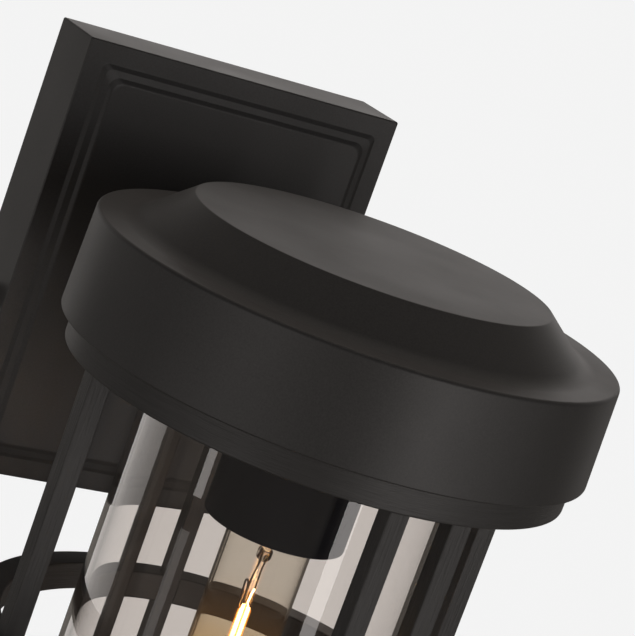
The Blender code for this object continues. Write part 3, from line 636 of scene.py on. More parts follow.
def glass(name, colour, waviness, ior=1.5, low_colour=None, fade=(0, 1)):
    """Clear glass with the slight waviness of a drawn tube, and if asked a deeper tint lower down with an
    orange glow painted in there.
    """
    made, tree, shader = start_material(name, colour, 0.0, Transmission_Weight=1.0, IOR=ior)
    bump(tree, shader, [(noise(tree, 30, 2, (1, 1, 0.05)), waviness, 0.0004)])
    if low_colour:
        split = add_node(tree, "SeparateXYZ")
        tree.links.new(add_node(tree, "TexCoord").outputs["Object"], split.inputs["Vector"])
        rise = map_range(tree, split.outputs["Z"], *fade, interpolation="SMOOTHSTEP")
        tint(tree, rise, low_colour, colour, shader.inputs["Base Color"])
        # Painted glow: the glass shines orange at the bottom and fades out upwards
        painted_glow = combine(tree, "MULTIPLY_ADD", rise, -PAINTED_GLOW, PAINTED_GLOW)
        fill(shader, Emission_Color=(*PAINTED_GLOW_COLOUR, 1))
        tree.links.new(painted_glow, shader.inputs["Emission Strength"])
    return made


def glowing(name, core, edge, strength):
    """A hot wire: bright where it faces out, and redder towards its edge."""
    made, tree, light, facing = start_glow(name, strength, 0.35)
    tint(tree, facing, core, edge, light.inputs["Color"])
    tree.links.new(light.outputs["Emission"], tree.nodes["Material Output"].inputs["Surface"])
    return made


def halo(name, colour, strength):
    """The glow round the hot wire, which fades out towards the edge of its sleeve."""
    made, tree, light, facing = start_glow(name, strength, 0.5)
    fill(light, Color=(*colour, 1))
    clear = add_node(tree, "BsdfTransparent")
    share = map_range(tree, facing, 0.0, 1.0, 0.55, 0.0)
    overlay(tree, clear.outputs["BSDF"], light.outputs["Emission"], share)
    return made


CAP_PAINT = painted("cap_paint", BLACK, 0.50)
BOX_PAINT = painted("box_paint", BLACK, 0.46)
RING_PAINT = painted("ring_paint", BLACK, 0.48, (0.10, 0.10, 2.2))
BAR_PAINT = painted("bar_paint", BLACK, 0.48, (2.2, 2.2, 0.10))
CUP_PAINT = moulded("cup_paint", (0.0085, 0.0090, 0.0125), 0.62, grain=0.0, Specular_IOR_Level=0.10)
SCREW_PAINT = painted("screw_paint", BLACK, 0.38)
ZINC = metal("zinc_plate", (0.56, 0.57, 0.58), 0.34)
NICKEL = metal("nickel_plate", (0.66, 0.62, 0.56), 0.24)
BRASS = metal("stamped_brass", (0.72, 0.54, 0.25), 0.30)
SOLDER = metal("solder_dull", (0.48, 0.48, 0.49), 0.46)
GREEN = metal("green_plate", (0.10, 0.42, 0.17), 0.36)
FOAM = moulded("gasket_foam", (0.028, 0.028, 0.030), 0.85, grain=0.8, scale=1500)
SILICONE = moulded("silicone_seal", (0.50, 0.49, 0.46), 0.45)
PORCELAIN = moulded("porcelain_glaze", (0.82, 0.81, 0.77), 0.22, grain=0.05)
SLEEVE_BLACK = moulded("sleeve_black", (0.018, 0.018, 0.019), 0.42)
SLEEVE_WHITE = moulded("sleeve_white", (0.74, 0.73, 0.69), 0.42)
NUT_PLASTIC = moulded("wire_nut_orange", (0.62, 0.20, 0.03), 0.48, grain=0.3)
VITRITE = moulded("vitrite", (0.020, 0.015, 0.028), 0.18, grain=0.05)
GLASS = glass("cylinder_glass", (0.815, 0.775, 0.745), 0.02)
LAMP_GLASS = glass("amber_lamp_glass", (0.93, 0.90, 0.84), 0.04, 1.47, (0.82, 0.67, 0.42), (-0.095, -0.045))
STEM_GLASS = glass("stem_glass", (0.72, 0.69, 0.66), 0.10)
LEAD = metal("lead_wire", (0.17, 0.13, 0.11), 0.45)
HOT_WIRE = glowing("hot_tungsten", (1.0, 0.72, 0.34), (1.0, 0.36, 0.06), 18)
GLOW = halo("filament_glow", (1.0, 0.31, 0.04), 3.2)


# ---- the wall side


def corner_at(margin):
    """The corner radius of the box at a margin: crisp at the outside, softer on the panel."""
    for (low, small), (high, large) in zip(BOX_CORNERS, BOX_CORNERS[1:]):
        if margin <= high:
            return small + (large - small) * (margin - low) / (high - low)
    return BOX_CORNERS[-1][1]


def make_wall_box():
    """The pressed box: a soft two-step panel in a flat rim, with crisp outer edges."""
    low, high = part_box("wall_box")
    half_width = (high.x - low.x) / 2
    half_height = (high.z - low.z) / 2
    rise = (high.z + low.z) / 2
    back, panel = -high.y, -low.y
    rim = panel - PANEL_RISES[2]
    profile = [
        (0, back, 0), (0, rim, BOX_EDGE), (PANEL_FIRST[0], rim, PANEL_SOFTNESS),
        (PANEL_FIRST[1], rim + PANEL_RISES[0], PANEL_SOFTNESS),
        (PANEL_SECOND[0], rim + PANEL_RISES[1], PANEL_SOFTNESS),
        (PANEL_SECOND[1], panel, PANEL_SOFTNESS * 2), (PANEL_FLAT, panel, 0),
    ]
    rings = []
    for margin, out in rounded(profile, 5):
        sides = (half_width - margin, half_height - margin)
        rings.append(rectangle_ring(*sides, corner_at(margin), out, rise))
    body = loft("wall_box_pressed", rings)
    shape = bmesh.new()
    shape.from_mesh(body.data)
    opening = [face for face in shape.faces if all(abs(v.co.y + back) < FLUSH for v in face.verts)]
    bmesh.ops.delete(shape, geom=opening, context="FACES_ONLY")
    shape.to_mesh(body.data)
    shape.free()
    thicken(body, BOX_SHEET)
    bake(body)
    screws = (0, *centre_of("side_screw_left").yz)
    stud = (0, -panel, centre_of("arm_stud").z)
    bore = cylinder_tool("stud_hole", STUD_HOLE, CUT_PLATE, stud, ALONG_Y)
    sides = cylinder_tool("screw_hole", SCREW_HOLE, CUT_ACROSS, screws, ALONG_X)
    carve(body, bore, sides)
    show(body, BOX_PAINT, "black_paint", "wall_box")


def make_bracket():
    """The folded strap with its slots, rounded where it is bent."""
    low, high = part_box("wall_bracket")
    bend = BRACKET_BEND
    path = rounded([(low.x, low.y, 0), (low.x, high.y, bend), (high.x, high.y, bend), (high.x, low.y, 0)])
    mesh = bpy.data.meshes.new("bracket_strap")
    points = [(x, y, z) for z in (low.z, high.z) for x, y in path]
    count = len(path)
    faces = [(i, i + 1, count + i + 1, count + i) for i in range(count - 1)]
    mesh.from_pydata(points, [], faces)
    body = new_piece("bracket_strap", mesh)
    thicken(body, BRACKET_SHEET, 1, even=False)
    bake(body)
    tools = []
    for side in (-1, 1):
        x = side * SLOT_OFFSET
        wide, high_half = SLOT_HALF
        tools.append(block(f"slot_{side}", (x - wide, -0.004, -high_half), (x + wide, 0.002, high_half)))
    screws = (0, *centre_of("side_screw_left").yz)
    ground = centre_of("ground_screw")
    tools.append(cylinder_tool("side_hole", SCREW_HOLE, CUT_ACROSS, screws, ALONG_X))
    tools.append(cylinder_tool("ground_hole", SCREW_HOLE, CUT_SHORT, (ground.x, 0, ground.z), ALONG_Y))
    carve(body, *tools)
    soften(body, BRACKET_EDGE)
    show(body, ZINC, "zinc", "wall_bracket")


def make_gasket():
    """The foam frame behind the box, with rounded edges."""
    low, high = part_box("wall_gasket")
    body = block("gasket_frame", low, high, GASKET_EDGE, 2)
    inset = Vector((GASKET_WIDTH, -CUT_PAST, GASKET_WIDTH))
    carve(body, block("gasket_window", low + inset, high - inset))
    show(body, FOAM, "rubber", "wall_gasket")


def screw_shape(name, length, head=SCREW_HEAD, recess=True, **placing):
    """A pan-head screw: seat at its own origin, thread along +Z, a cross recess in its head."""
    head_radius, head_height = head
    outline = [(0, length), (SCREW_RADIUS - SCREW_THREAD, length - 0.0002)]
    for index in range(int((length - 2 * SCREW_TIP) / SCREW_PITCH)):
        top = length - SCREW_TIP - index * SCREW_PITCH
        outline += [(SCREW_RADIUS, top), (SCREW_RADIUS - SCREW_THREAD * 0.6, top - SCREW_PITCH / 2)]
    dome = [(head_radius, 0, 0), (head_radius, -head_height, head_height * 0.7), (0, -head_height, 0)]
    outline += [(SCREW_RADIUS, 0), *rounded(dome, 5)]
    body = turned(name, outline, ROUND_SMALL, **placing)
    if not recess:
        return body
    place = Matrix.LocRotScale(body.location, body.rotation_euler, None)
    half = head_radius * 0.5
    low = (-half, -RECESS_HALF, -head_height - 0.001)
    high = (half, RECESS_HALF, head_height * 0.6 - head_height)
    tools = []
    for quarter in (0, pi / 2):
        bar = block(name + "_recess", low, high)
        bar.matrix_world = place @ Matrix.Rotation(quarter, 4, "Z") @ Matrix.Translation(bar.location)
        tools.append(bar)
    carve(body, *tools)
    return body


def make_side_screws():
    """The two thumb screws: a knurled head with a dished face on a threaded shank."""
    for side, sign in (("left", -1), ("right", 1)):
        node = "side_screw_" + side
        low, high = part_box(node)
        outer, inner = (low.x, high.x) if sign < 0 else (high.x, low.x)
        radius = (high.z - low.z) / 2
        face = centre_of(node)
        face.x = outer
        seat = outer - sign * KNOB_HEIGHT
        placing = {"location": (seat, face.y, face.z), "turn": (0, -sign * pi / 2, 0)}
        levels = [
            (-KNOB_HEIGHT, radius - KNOB_CHAMFER, False), (KNOB_CHAMFER - KNOB_HEIGHT, radius, True),
            (-KNOB_CHAMFER, radius, True), (0, radius - KNOB_CHAMFER, False),
        ]
        body = loft(node + "_knob", toothed(levels, KNOB_TEETH, KNOB_TOOTH), **placing)
        carve(body, cylinder_tool("dish", radius * DISH_SHARE, DISH_LENGTH, face, ALONG_X))
        shank = screw_shape(node + "_shank", abs(inner - seat), SHANK_COLLAR, recess=False, **placing)
        carve(body, shank, operation="UNION")
        show(body, SCREW_PAINT, "black_paint", node, rides=side + "_thumb_screw", angle=30)


def make_small_screws():
    """The ground screw, and the cross-head screws of the cage and the base plate."""
    low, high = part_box("ground_screw")
    centre = (low + high) / 2
    seat = Vector((centre.x, low.y + SCREW_HEAD[1], centre.z))
    turn = (-pi / 2, 0, 0)
    body = screw_shape("ground_screw_head", high.y - seat.y, location=seat, turn=turn)
    show(body, GREEN, "green_zinc", "ground_screw", angle=30)
    for kind, finish, slot in (("cage", ZINC, "zinc"), ("base", SCREW_PAINT, "black_paint")):
        for index in range(4):
            node = f"{kind}_screw_{index + 1}"
            low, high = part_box(node)
            seat = Vector(((low.x + high.x) / 2, (low.y + high.y) / 2, low.z + SCREW_HEAD[1]))
            body = screw_shape(node + "_head", high.z - seat.z, location=seat)
            show(body, finish, slot, node, angle=30)


# ---- arm and wiring


def hexagon(node, along):
    """A hexagon nut with chamfered corners, on the stud or the nipple."""
    low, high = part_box(node)
    size = high - low
    height = size[along]
    half = height / 2
    across = min(size[index] for index in range(3) if index != along)
    corner = across / 2 / cos(pi / 6)
    flat = across * NUT_FLAT
    placing = {"location": (low + high) / 2, "turn": ALONG_Y if along == 1 else UPRIGHT}
    body = cylinder_tool(node + "_hex", corner, height, sides=6, **placing)
    outline = [
        (0, half), (flat, half), (corner, half - NUT_CHAMFER),
        (corner, NUT_CHAMFER - half), (flat, -half), (0, -half),
    ]
    chamfer = turned("chamfer", outline, ROUND_SMALL, **placing)
    carve(body, chamfer, operation="INTERSECT")
    carve(body, cylinder_tool("bore", STUD_HOLE, 2 * height, **placing))
    show(body, ZINC, "zinc", node, angle=25)


def threaded_tube(name, node, along):
    """The hollow threaded stud or nipple."""
    low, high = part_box(node)
    half = (high - low)[along] / 2
    radius = (high.x - low.x) / 2
    outline = [(radius - STUD_TIP, half), (radius - 0.0002, half - 0.0006)]
    for index in range(int((2 * half - 0.0014) / STUD_PITCH)):
        top = half - STUD_TIP - index * STUD_PITCH
        outline += [(radius, top), (radius - STUD_THREAD, top - STUD_PITCH / 2)]
    outline += [(radius - STUD_TIP, -half), (STUD_BORE, -half), (STUD_BORE, half)]
    turn = ALONG_Y if along == 1 else UPRIGHT
    body = turned(name, outline, ROUND_SMALL, location=(low + high) / 2, turn=turn)
    show(body, ZINC, "zinc", node, angle=25)


def make_arm():
    """The arm tube saddled to the cap, its collar, and the clamped stud."""
    low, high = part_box("arm_tube")
    radius = (high.x - low.x) / 2
    placing = {"location": Vector((0, 0, ((low + high) / 2).z)), "turn": ALONG_Y}
    reach = -low.y + ARM_SURPLUS
    tube = ring(
        "arm_tube_fine", radius, radius - ARM_WALL, -high.y, reach, ARM_EDGE, ROUND_MIDDLE, **placing
    )
    outline = [
        (0, CAP_HIGH.z), (CAP_RADIUS + FIT, CAP_HIGH.z),
        (CAP_RADIUS + CAP_DRAFT + FIT, CAP_LOW.z), (0, CAP_LOW.z),
    ]
    carve(tube, turned("drum_cut", outline))
    show(tube, CAP_PAINT, "black_paint", "arm_tube")
    low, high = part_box("arm_collar")
    inside, outside = radius + FIT, (high.x - low.x) / 2
    corners = [
        (inside, -low.y, 0.0003), (outside, -low.y, 0.0012),
        (outside, -high.y, 0.0002), (inside, -high.y, 0.0002),
    ]
    collar = turned("arm_collar_fine", rounded(corners, 4, closed=True), ROUND_MIDDLE, **placing)
    show(collar, CAP_PAINT, "black_paint", "arm_collar")
    threaded_tube("arm_stud_threaded", "arm_stud", 1)
    hexagon("arm_nut_wall", 1)
    hexagon("arm_nut_cap", 1)
    for name in ("wall", "cap"):
        node = "arm_washer_" + name
        low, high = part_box(node)
        sizes = (WASHER_RADIUS, STUD_HOLE, -high.y, -low.y, WASHER_EDGE)
        show(ring(node + "_fine", *sizes, ROUND_SMALL, 2, **placing), ZINC, "zinc", node)


def make_wires():
    """The two sleeved wires along their CAD route, and their ribbed wire nuts."""
    stud_low, stud_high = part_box("arm_stud")
    arm_z = (stud_low.z + stud_high.z) / 2
    back_out, front_out = -stud_high.y, -stud_low.y
    nipple_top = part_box("socket_nipple")[1].z
    axis_out = -AXIS.y
    rise = arm_z + 0.008
    kinds = (("live", SLEEVE_BLACK, "wire_black", -1), ("neutral", SLEEVE_WHITE, "wire_white", 1))
    for name, finish, slot, side in kinds:
        node = "wire_" + name
        low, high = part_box(node)
        nut_low, nut_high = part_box("wire_nut_" + name)
        nut = (nut_low + nut_high) / 2
        x = side * WIRE_OFFSET
        mouth = nut_low.z
        route = [
            (nut.x, nut.y, high.z), (nut.x, nut.y, mouth), (nut.x, nut.y, mouth - 0.006),
            (nut.x * 0.7, nut.y, arm_z + 0.010), (x * 2, 0.012 - back_out, arm_z + 0.002),
            (x, 0.003 - back_out, arm_z), (x, -(back_out + front_out) / 2, arm_z),
            (x, -front_out - 0.004, arm_z), (x, -(front_out + axis_out) / 2, rise),
            (x, -axis_out + 0.012, rise), (x, -axis_out + 0.002, nipple_top + 0.008),
            (x, -axis_out, nipple_top), (x, -axis_out, low.z),
        ]
        show(wire(node + "_sleeve", smooth_route(route), SLEEVE_RADIUS), finish, slot, node)
        levels = [
            (0, 0.005, False), (0.003, 0.005, True), (0.016, 0.0039, True),
            (0.0195, 0.0036, False), (nut_high.z - mouth, 0.0028, False),
        ]
        base = (nut.x, nut.y, mouth)
        cap = loft(f"wire_nut_{name}_ribbed", toothed(levels, RIB_COUNT, RIB_DEPTH), base)
        carve(cap, cylinder_tool("nut_mouth", NUT_MOUTH, CUT_SHORT, base))
        show(cap, NUT_PLASTIC, "wire_nut_plastic", "wire_nut_" + name, angle=30)


# ---- cap and cage


def make_cap():
    """The spun cap: flat hat, straight cone, a fillet into the shoulder, a drum with a rolled edge."""
    rim = CAP_RADIUS + CAP_DRAFT
    corners = [
        (0, CAP_HIGH.z, 0), (CAP_RADIUS - HAT_TOP_INSET, CAP_HIGH.z, HAT_EDGE),
        (CAP_RADIUS - HAT_FOOT_INSET, SHOULDER_Z, HAT_FILLET),
        (CAP_RADIUS, SHOULDER_Z, CAP_EDGE),
        (rim, CAP_LOW.z, CAP_LIP), (rim - 2 * CAP_LIP, CAP_LOW.z, 0),
    ]
    body = turned("cap_spun", rounded(corners, 10), ROUND_FINEST, sheet=CAP_SHEET)
    stud = (0, AXIS.y + CAP_RADIUS, centre_of("arm_stud").z)
    carve(body, cylinder_tool("stud_hole", STUD_HOLE, CUT_CAP, stud, ALONG_Y))
    soften(body, CAP_CUT_EDGE, limit=50)
    show(body, CAP_PAINT, "black_paint", "cap_shell")


def bar_tools(low, high):
    """A box round each bar, to notch or socket what it passes."""
    gap = WELD_GAP
    tools = []
    for side in BAR_SIDES:
        bar_low, bar_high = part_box("cage_bar_" + side)
        near = (bar_low.x - gap, bar_low.y - gap, low)
        tools.append(block("tool_" + side, near, (bar_high.x + gap, bar_high.y + gap, high)))
    return tools


def make_cage():
    """Two flat rings and the hoop, notched round the bars, and the six square bars."""
    rings = (("cage", "cage_ring_top", "ring_top_fine"), ("base", "base_ring", "ring_base_fine"))
    for kind, node, name in rings:
        low, high, outside = barrel(node)
        body = ring(name, outside, outside - RING_WIDTH, low, high, RING_EDGE)
        top = kind == "cage"
        level = low if top else high
        places = [(*place, low) for place in screw_places(kind)]
        tools = bar_tools(level - NOTCH_REACH, level + NOTCH_REACH)
        tools += [cylinder_tool("hole", *(SINK if top else TAP), place) for place in places]
        carve(body, *tools)
        if top:
            carve(body, *[cylinder_tool("bore", SCREW_HOLE, CUT_PLATE, place) for place in places])
        show(body, RING_PAINT, "black_paint", node)
    low, high, outside = barrel("cage_hoop")
    hoop = ring("hoop_fine", outside, outside - HOOP_WIDTH, low, high, HOOP_EDGE)
    carve(hoop, *bar_tools(low - CUT_PAST, high + CUT_PAST))
    show(hoop, RING_PAINT, "black_paint", "cage_hoop")
    for side in BAR_SIDES:
        node = "cage_bar_" + side
        show(block(node + "_fine", *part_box(node), BAR_EDGE), BAR_PAINT, "black_paint", node)


def make_base():
    """The base plate with its rolled opening."""
    low, high, outside = barrel("base_plate")
    opening = barrel("glass_cylinder")[2] - GLASS_WALL - SEAL_LIP
    body = ring("base_plate_fine", outside, opening, low, high, BASE_EDGE)
    places = screw_places("base")
    carve(body, *[cylinder_tool("bore", SCREW_HOLE, CUT_SHORT, (*place, low)) for place in places])
    show(body, CAP_PAINT, "black_paint", "base_plate")


def make_glass():
    """The thick glass tube with fire-polished rims, between its lipped seals. Returns the tube."""
    low, high, outside = barrel("glass_cylinder")
    inside = outside - GLASS_WALL
    tube = ring("glass_tube", outside, inside, low, high, GLASS_EDGE, ROUND_FINEST, 6)
    show(tube, GLASS, "clear_glass", "glass_cylinder", angle=60)
    lip = outside + FIT
    for node, way in (("glass_gasket_bottom", 1), ("glass_gasket_top", -1)):
        low, high, wide = barrel(node)
        seat, rim = (low, high) if way > 0 else (high, low)
        floor = seat + way * SEAL_FLOOR
        narrow = inside - SEAL_FOOT
        corners = [
            (wide, rim, SEAL_RIM), (wide, seat, SEAL_EDGE), (narrow, seat, SEAL_EDGE),
            (narrow, floor, SEAL_EDGE), (lip, floor, 0), (lip, rim, SEAL_EDGE),
        ]
        # The top seal is the bottom one upside down, so its outline is taken backwards
        seal = turned(node + "_fine", rounded(corners[::way], 3, closed=True))
        show(seal, SILICONE, "silicone", node)
    return tube


# ---- socket and lamp


def make_socket():
    """The cup, the lampholder and its screw shell, and their nipple."""
    low, high, radius = barrel("socket_cup")
    corners = [(STUD_HOLE, high, 0), (radius, high, CUP_EDGE), (radius, low, 0)]
    cup = turned("socket_cup_fine", rounded(corners), sheet=CUP_SHEET)
    soften(cup, CUP_CUT_EDGE, 3, 50)
    show(cup, CUP_PAINT, "cup_paint", "socket_cup")
    threaded_tube("nipple_threaded", "socket_nipple", 2)
    low, high, radius = barrel("nipple_washer")
    sizes = (radius, STUD_HOLE, 0, high - low, WASHER_EDGE)
    place = (AXIS.x, AXIS.y, low)
    washer = ring("nipple_washer_fine", *sizes, ROUND_MIDDLE, location=place)
    show(washer, ZINC, "zinc", "nipple_washer")
    hexagon("nipple_nut_top", 2)
    hexagon("nipple_nut_bottom", 2)
    low, high, radius = barrel("lampholder_body")
    shell_low, shell_high, shell = barrel("lampholder_shell")
    step = radius - HOLDER_STEP
    roof = high - HOLDER_ROOF
    corners = [
        (STUD_HOLE, high, 0), (radius, high, 0.0025), (radius, high - 0.016, 0.0006),
        (step, high - 0.017, 0.0006), (step, low, 0.0010), (shell + FIT, low, 0.0004),
        (shell + FIT, roof, 0), (STUD_HOLE, roof, 0),
    ]
    holder = turned("lampholder_porcelain", rounded(corners, 5, closed=True), ROUND_MIDDLE)
    show(holder, PORCELAIN, "porcelain", "lampholder_body")
    # The shell's thread stays shallow, so that it keeps outside the lamp's own
    turns = int((shell_high - shell_low) / THREAD_PITCH)
    outer = [
        (shell - SHELL_SKIN - SHELL_WAVE * wave, shell_high - drop) for wave, drop in rolled(turns, 8)
    ]
    outer.append((shell, shell_low))
    inner = [(across - SHELL_WALL + SHELL_WAVE, height) for across, height in reversed(outer)]
    sleeve = turned("lampholder_screw_shell", outer + inner, ROUND_MIDDLE)
    show(sleeve, BRASS, "brass", "lampholder_shell", angle=60)
    tongue = block("lampholder_tongue", *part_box("lampholder_contact"), TONGUE_EDGE, 2)
    show(tongue, BRASS, "brass", "lampholder_contact")


def rolled(turns, steps):
    """A rolled thread, step by step: its depth from 0 to 1, and how far down it is."""
    for index in range(turns * steps + 1):
        yield 0.5 - 0.5 * cos(2 * pi * index / steps), index * THREAD_PITCH / steps


def make_lamp():
    """The tubular lamp with its screw base and mount. Returns the envelope."""
    low, high, radius = barrel("bulb_contact")
    corners = [(0, high, 0), (radius * 0.85, high, 0.0011), (radius, low, 0), (0, low, 0)]
    tip = turned("lamp_contact", rounded(corners), ROUND_SMALL)
    show(tip, SOLDER, "solder", "bulb_contact", rides="lamp_travel")
    low, high, radius = barrel("bulb_insulator")
    corners = [
        (0, high, 0), (0.0047, high, 0.0004), (radius, high - 0.0023, 0.0005),
        (radius, low, 0), (0, low, 0),
    ]
    vitrite = turned("lamp_vitrite", rounded(corners), ROUND_SMALL)
    show(vitrite, VITRITE, "dark_glass", "bulb_insulator", rides="lamp_travel")

    low, high, radius = barrel("bulb_base")
    neck = radius - 0.0005
    outline = rounded([(0.0085, high, 0), (neck, high - 0.002, 0.002), (neck, high - 0.0035, 0)], 5)
    for wave, drop in rolled(4, 10):
        outline.append((radius - THREAD_DEPTH * wave, high - 0.004 - drop))
    outline += [(radius - 0.0004, low + 0.0018), (radius - 0.0002, low)]
    base = turned("lamp_screw_shell", outline, ROUND_MIDDLE, sheet=BASE_SHEET)
    show(base, NICKEL, "nickel", "bulb_base", rides="lamp", angle=60)

    low, high, radius = barrel("bulb_glass")
    corners = [
        (LAMP_NECK, high, 0), (LAMP_NECK, high - NECK_LENGTH, 0.005),
        (radius, high - SHOULDER_DROP, 0.008), (radius, low, radius * 0.98), (0, low, 0),
    ]
    envelope = turned("lamp_envelope", rounded(corners, 16), sheet=LAMP_WALL)
    show(envelope, LAMP_GLASS, "lamp_glass", "bulb_glass", rides="lamp", angle=80)
    make_mount()
    return envelope


def thin_wire(name, points, radius, finish, slot, *nodes):
    """A wire of the lamp's mount along a smooth curve, from (across, height) or (x, y, height)."""
    points = [(point[0], 0, point[1]) if len(point) == 2 else point for point in points]
    show(wire(name, smooth_route(points), radius, AXIS), finish, slot, *nodes, rides="lamp")


def make_mount():
    """The glass stem with its bead, the leads, and the coiled hairpin that glows."""
    low, high, _ = barrel("bulb_stem")
    corners = [
        (0, high, 0), (STEM_FLARE, high, 0.0002), (STEM_FLARE, high - 0.001, 0.0006),
        (0.0045, high - 0.011, 0.004), (0.0022, high - 0.016, 0.004),
        (0.0019, low + 0.0085, 0.002), (0.0014, low + 0.0062, 0.001),
        (0.0030, low + 0.0045, 0.0016), (0.0028, low + 0.0012, 0.0016),
        (0.0008, low, 0.0008), (0, low, 0),
    ]
    stem = turned("lamp_stem", rounded(corners, 5), ROUND_SMALL)
    show(stem, STEM_GLASS, "clear_glass", "bulb_stem", rides="lamp", angle=60)
    left, right = STRAND_X
    end = STRAND_BOTTOM
    strands = (("left", left, ["bulb_filament"]), ("right", right, []))
    for (name, x, nodes), top in zip(strands, STRAND_TOPS, strict=True):
        coil = wire("filament_" + name, coil_route(x, top, end), STRAND_WIRE, AXIS)
        show(coil, HOT_WIRE, "filament", *nodes, rides="lamp", angle=80)
        corners = [(0, top, 0), (GLOW_RADIUS, top, GLOW_END), (GLOW_RADIUS, end, GLOW_END), (0, end, 0)]
        place = AXIS + Vector((x, 0, 0))
        sleeve = turned("glow_" + name, rounded(corners), ROUND_SMALL, location=place)
        show(sleeve, GLOW, "filament", rides="lamp")
    points = [
        (left, end + 0.0005), (left * 0.6, end - 0.0006), ((left + right) / 2, end - 0.0010),
        (right * 0.7, end - 0.0006), (right, end + 0.0005),
    ]
    thin_wire("filament_bend", points, BEND_WIRE, HOT_WIRE, "filament")
    points = [
        (0.0013, -0.0484), (0.0008, -0.0506), (0.0005, -0.0545), (0.0010, -0.0556),
        (right, STRAND_TOPS[1] - 0.0004),
    ]
    thin_wire("filament_tail", points, TAIL_WIRE, HOT_WIRE, "filament")
    points = [
        (0.0016, low + 0.004), (0.0015, low - 0.0005), (0.0012, -0.0400), (0.0012, -0.0440),
        (0.0013, -0.0486),
    ]
    thin_wire("lead_right", points, LEAD_WIRE, LEAD, "nickel", "bulb_lead_short")
    points = [
        (-0.0006, low + 0.004), (-0.0007, low - 0.0005), (-0.0018, -0.0465),
        (-0.0019, -0.0545), (-0.0022, -0.0569), (-0.0031, -0.0560), (-0.0035, -0.0500),
        (-0.0037, -0.0461), (-0.0029, -0.0455), (-0.0022, -0.0475), (left, STRAND_TOPS[0] + 0.0002),
    ]
    thin_wire("lead_left", points, LEAD_WIRE, LEAD, "nickel", "bulb_lead_long")
    points = [
        (0, 0.0014, low + 0.004), (0, 0.0020, low - 0.004), (0.0006, 0.0034, end + 0.030),
        (0.0006, 0.0034, end + 0.004), (0.0004, 0.0018, end - 0.0018), (0.0003, -0.0008, end - 0.0016),
    ]
    thin_wire("filament_support", points, STRAND_WIRE, LEAD, "nickel")


def coil_route(x, top, bottom, steps=8):
    """The turns of a coiled strand."""
    count = int((top - bottom) / COIL_PITCH) * steps
    route = []
    for step in range(count + 1):
        angle = 2 * pi * step / steps
        depth = top - (top - bottom) * step / count
        route.append((x + COIL_RADIUS * cos(angle), COIL_RADIUS * sin(angle), depth))
    return route


# ---- what stays from CAD


def finish_cad_nodes():
    """Zinc plate on the CAD nodes that stay as they are."""
    for node in ("cap_plate", *(f"cap_standoff_{index + 1}" for index in range(4))):
        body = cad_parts[node]
        body.data.materials.clear()
        body.data.materials.append(ZINC)


# ---- the studio


def aim(location, target):
    """The rotation that points an object's -Z at a target."""
    return (Vector(target) - Vector(location)).to_track_quat("-Z", "Y").to_euler()


def add_light(name, kind, energy, colour, mirrored=True):
    """A light that isn't seen itself, and that gloss mirrors unless it says otherwise."""
    lamp = bpy.data.lights.new(name, kind)
    lamp.energy = energy
    lamp.color = colour
    body = new_piece(name, lamp)
    body.visible_camera = False
    body.visible_transmission = False
    body.visible_glossy = mirrored
    return body


def soft_box(name, azimuth, elevation, distance, size, power):
    """A soft box that looks at the lantern from an azimuth and an elevation."""
    target = Vector((0, AXIS.y, 0))
    turn, tilt = radians(azimuth), radians(elevation)
    way = Vector((cos(turn) * cos(tilt), sin(turn) * cos(tilt), sin(tilt)))
    body = add_light(name, "AREA", power, PALE)
    body.data.shape = "RECTANGLE"
    body.data.size, body.data.size_y = size
    body.location = target + way * distance
    body.rotation_euler = aim(body.location, target)
    return body


def keep_to(light, pieces, state="INCLUDE"):
    """Lets a light fall only on some pieces, or on all but them."""
    group = bpy.data.collections.new(light.name + "_pieces")
    light.light_linking.receiver_collection = group
    for piece in pieces:
        group.objects.link(piece)
    for entry in group.collection_objects:
        entry.light_linking.link_state = state


def seen_directly(tree):
    """One where a ray has met nothing but glass on its way from the eye, and nought elsewhere."""
    path = add_node(tree, "LightPath").outputs
    straight = combine(tree, "MAXIMUM", path["Is Camera Ray"], path["Is Transmission Ray"])
    turned_back = combine(tree, "ADD", path["Glossy Depth"], path["Diffuse Depth"])
    return combine(tree, "MULTIPLY", straight, combine(tree, "LESS_THAN", turned_back, 0.5)), path


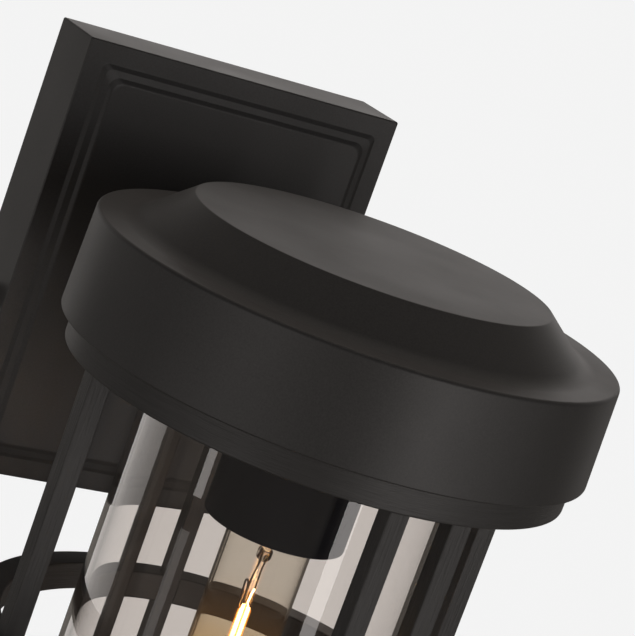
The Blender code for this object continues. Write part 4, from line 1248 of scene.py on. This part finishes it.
def light_studio(clear_pieces):
    """Bright where it is seen, dim where it is mirrored, and softly lit all round."""
    world = bpy.data.worlds.new("studio")
    bpy.context.scene.world = world
    world.use_nodes = True
    tree = world.node_tree
    direct, path = seen_directly(tree)
    seen = combine(tree, "MULTIPLY_ADD", direct, SEEN_LIGHT - GLOSS_LIGHT, GLOSS_LIGHT)
    total = combine(tree, "MULTIPLY_ADD", path["Is Diffuse Ray"], SOFT_LIGHT - GLOSS_LIGHT, seen)
    background = tree.nodes["Background"]
    fill(background, Color=(1, 1, 1, 1))
    tree.links.new(total, background.inputs["Strength"])
    for box in SHARED_BOXES:
        soft_box(*box)
    for box in PAINT_BOXES:
        keep_to(soft_box(*box), clear_pieces, "EXCLUDE")
    keep_to(soft_box(*GLASS_BOX), clear_pieces)
    for piece in clear_pieces:
        piece.visible_shadow = False
    glow = add_light("lamp_glow", "POINT", LAMP_POWER, LAMP_LIGHT, mirrored=False)
    glow.data.shadow_soft_size = LAMP_SIZE
    glow.location = AXIS + Vector((0, 0, (STRAND_TOPS[0] + STRAND_BOTTOM) / 2))
    over = add_light("overhead", "SUN", SUN_POWER, WARM, mirrored=False)
    over.data.angle = SUN_WIDTH
    way = Vector((cos(SUN_AZIMUTH), sin(SUN_AZIMUTH), tan(SUN_ELEVATION)))
    over.rotation_euler = aim(way, (0, 0, 0))


def make_floor():
    """A wide pale floor, as bright as the surroundings where it is seen."""
    mesh = bpy.data.meshes.new("floor")
    signs = ((-1, -1), (1, -1), (1, 1), (-1, 1))
    corners = [(x * FLOOR_REACH, y * FLOOR_REACH, FLOOR_DEPTH) for x, y in signs]
    mesh.from_pydata(corners, [], [(0, 1, 2, 3)])
    floor = new_piece("floor", mesh)
    made, tree, shader = start_material("floor_pale", (0.12, 0.118, 0.115), 0.9)
    bump(tree, shader, [(noise(tree, 6), 0.02, 0.01)])
    light = add_node(tree, "Emission", Color=(SEEN_LIGHT, SEEN_LIGHT, SEEN_LIGHT, 1))
    overlay(tree, shader.outputs["BSDF"], light.outputs["Emission"], seen_directly(tree)[0])
    mesh.materials.append(made)


def place_camera():
    """The camera at the fitted viewing angle."""
    level_part = cos(ELEVATION)
    back = Vector((sin(AZIMUTH) * level_part, -cos(AZIMUTH) * level_part, sin(ELEVATION)))
    level = Vector((cos(AZIMUTH), sin(AZIMUTH), 0))
    upright = back.cross(level)
    right = cos(ROLL) * level + sin(ROLL) * upright
    up = cos(ROLL) * upright - sin(ROLL) * level
    target = Vector((0, AXIS.y, SHOULDER_Z))
    lens = bpy.data.cameras.new("camera")
    lens.lens = LENS
    lens.sensor_width = SENSOR
    lens.clip_start = CLIP_START
    camera = new_piece("camera", lens)
    rotation = Matrix((right, up, back)).transposed().to_4x4()
    place = target + back * DISTANCE + right * PAN[0] + up * PAN[1]
    camera.matrix_world = Matrix.Translation(place) @ rotation
    bpy.context.scene.camera = camera


place_camera()
make_floor()
make_wall_box()
make_bracket()
make_gasket()
make_side_screws()
make_small_screws()
make_arm()
make_wires()
make_cap()
make_cage()
make_base()
glass_tube = make_glass()
make_socket()
lamp_envelope = make_lamp()
finish_cad_nodes()
light_studio([glass_tube, lamp_envelope])
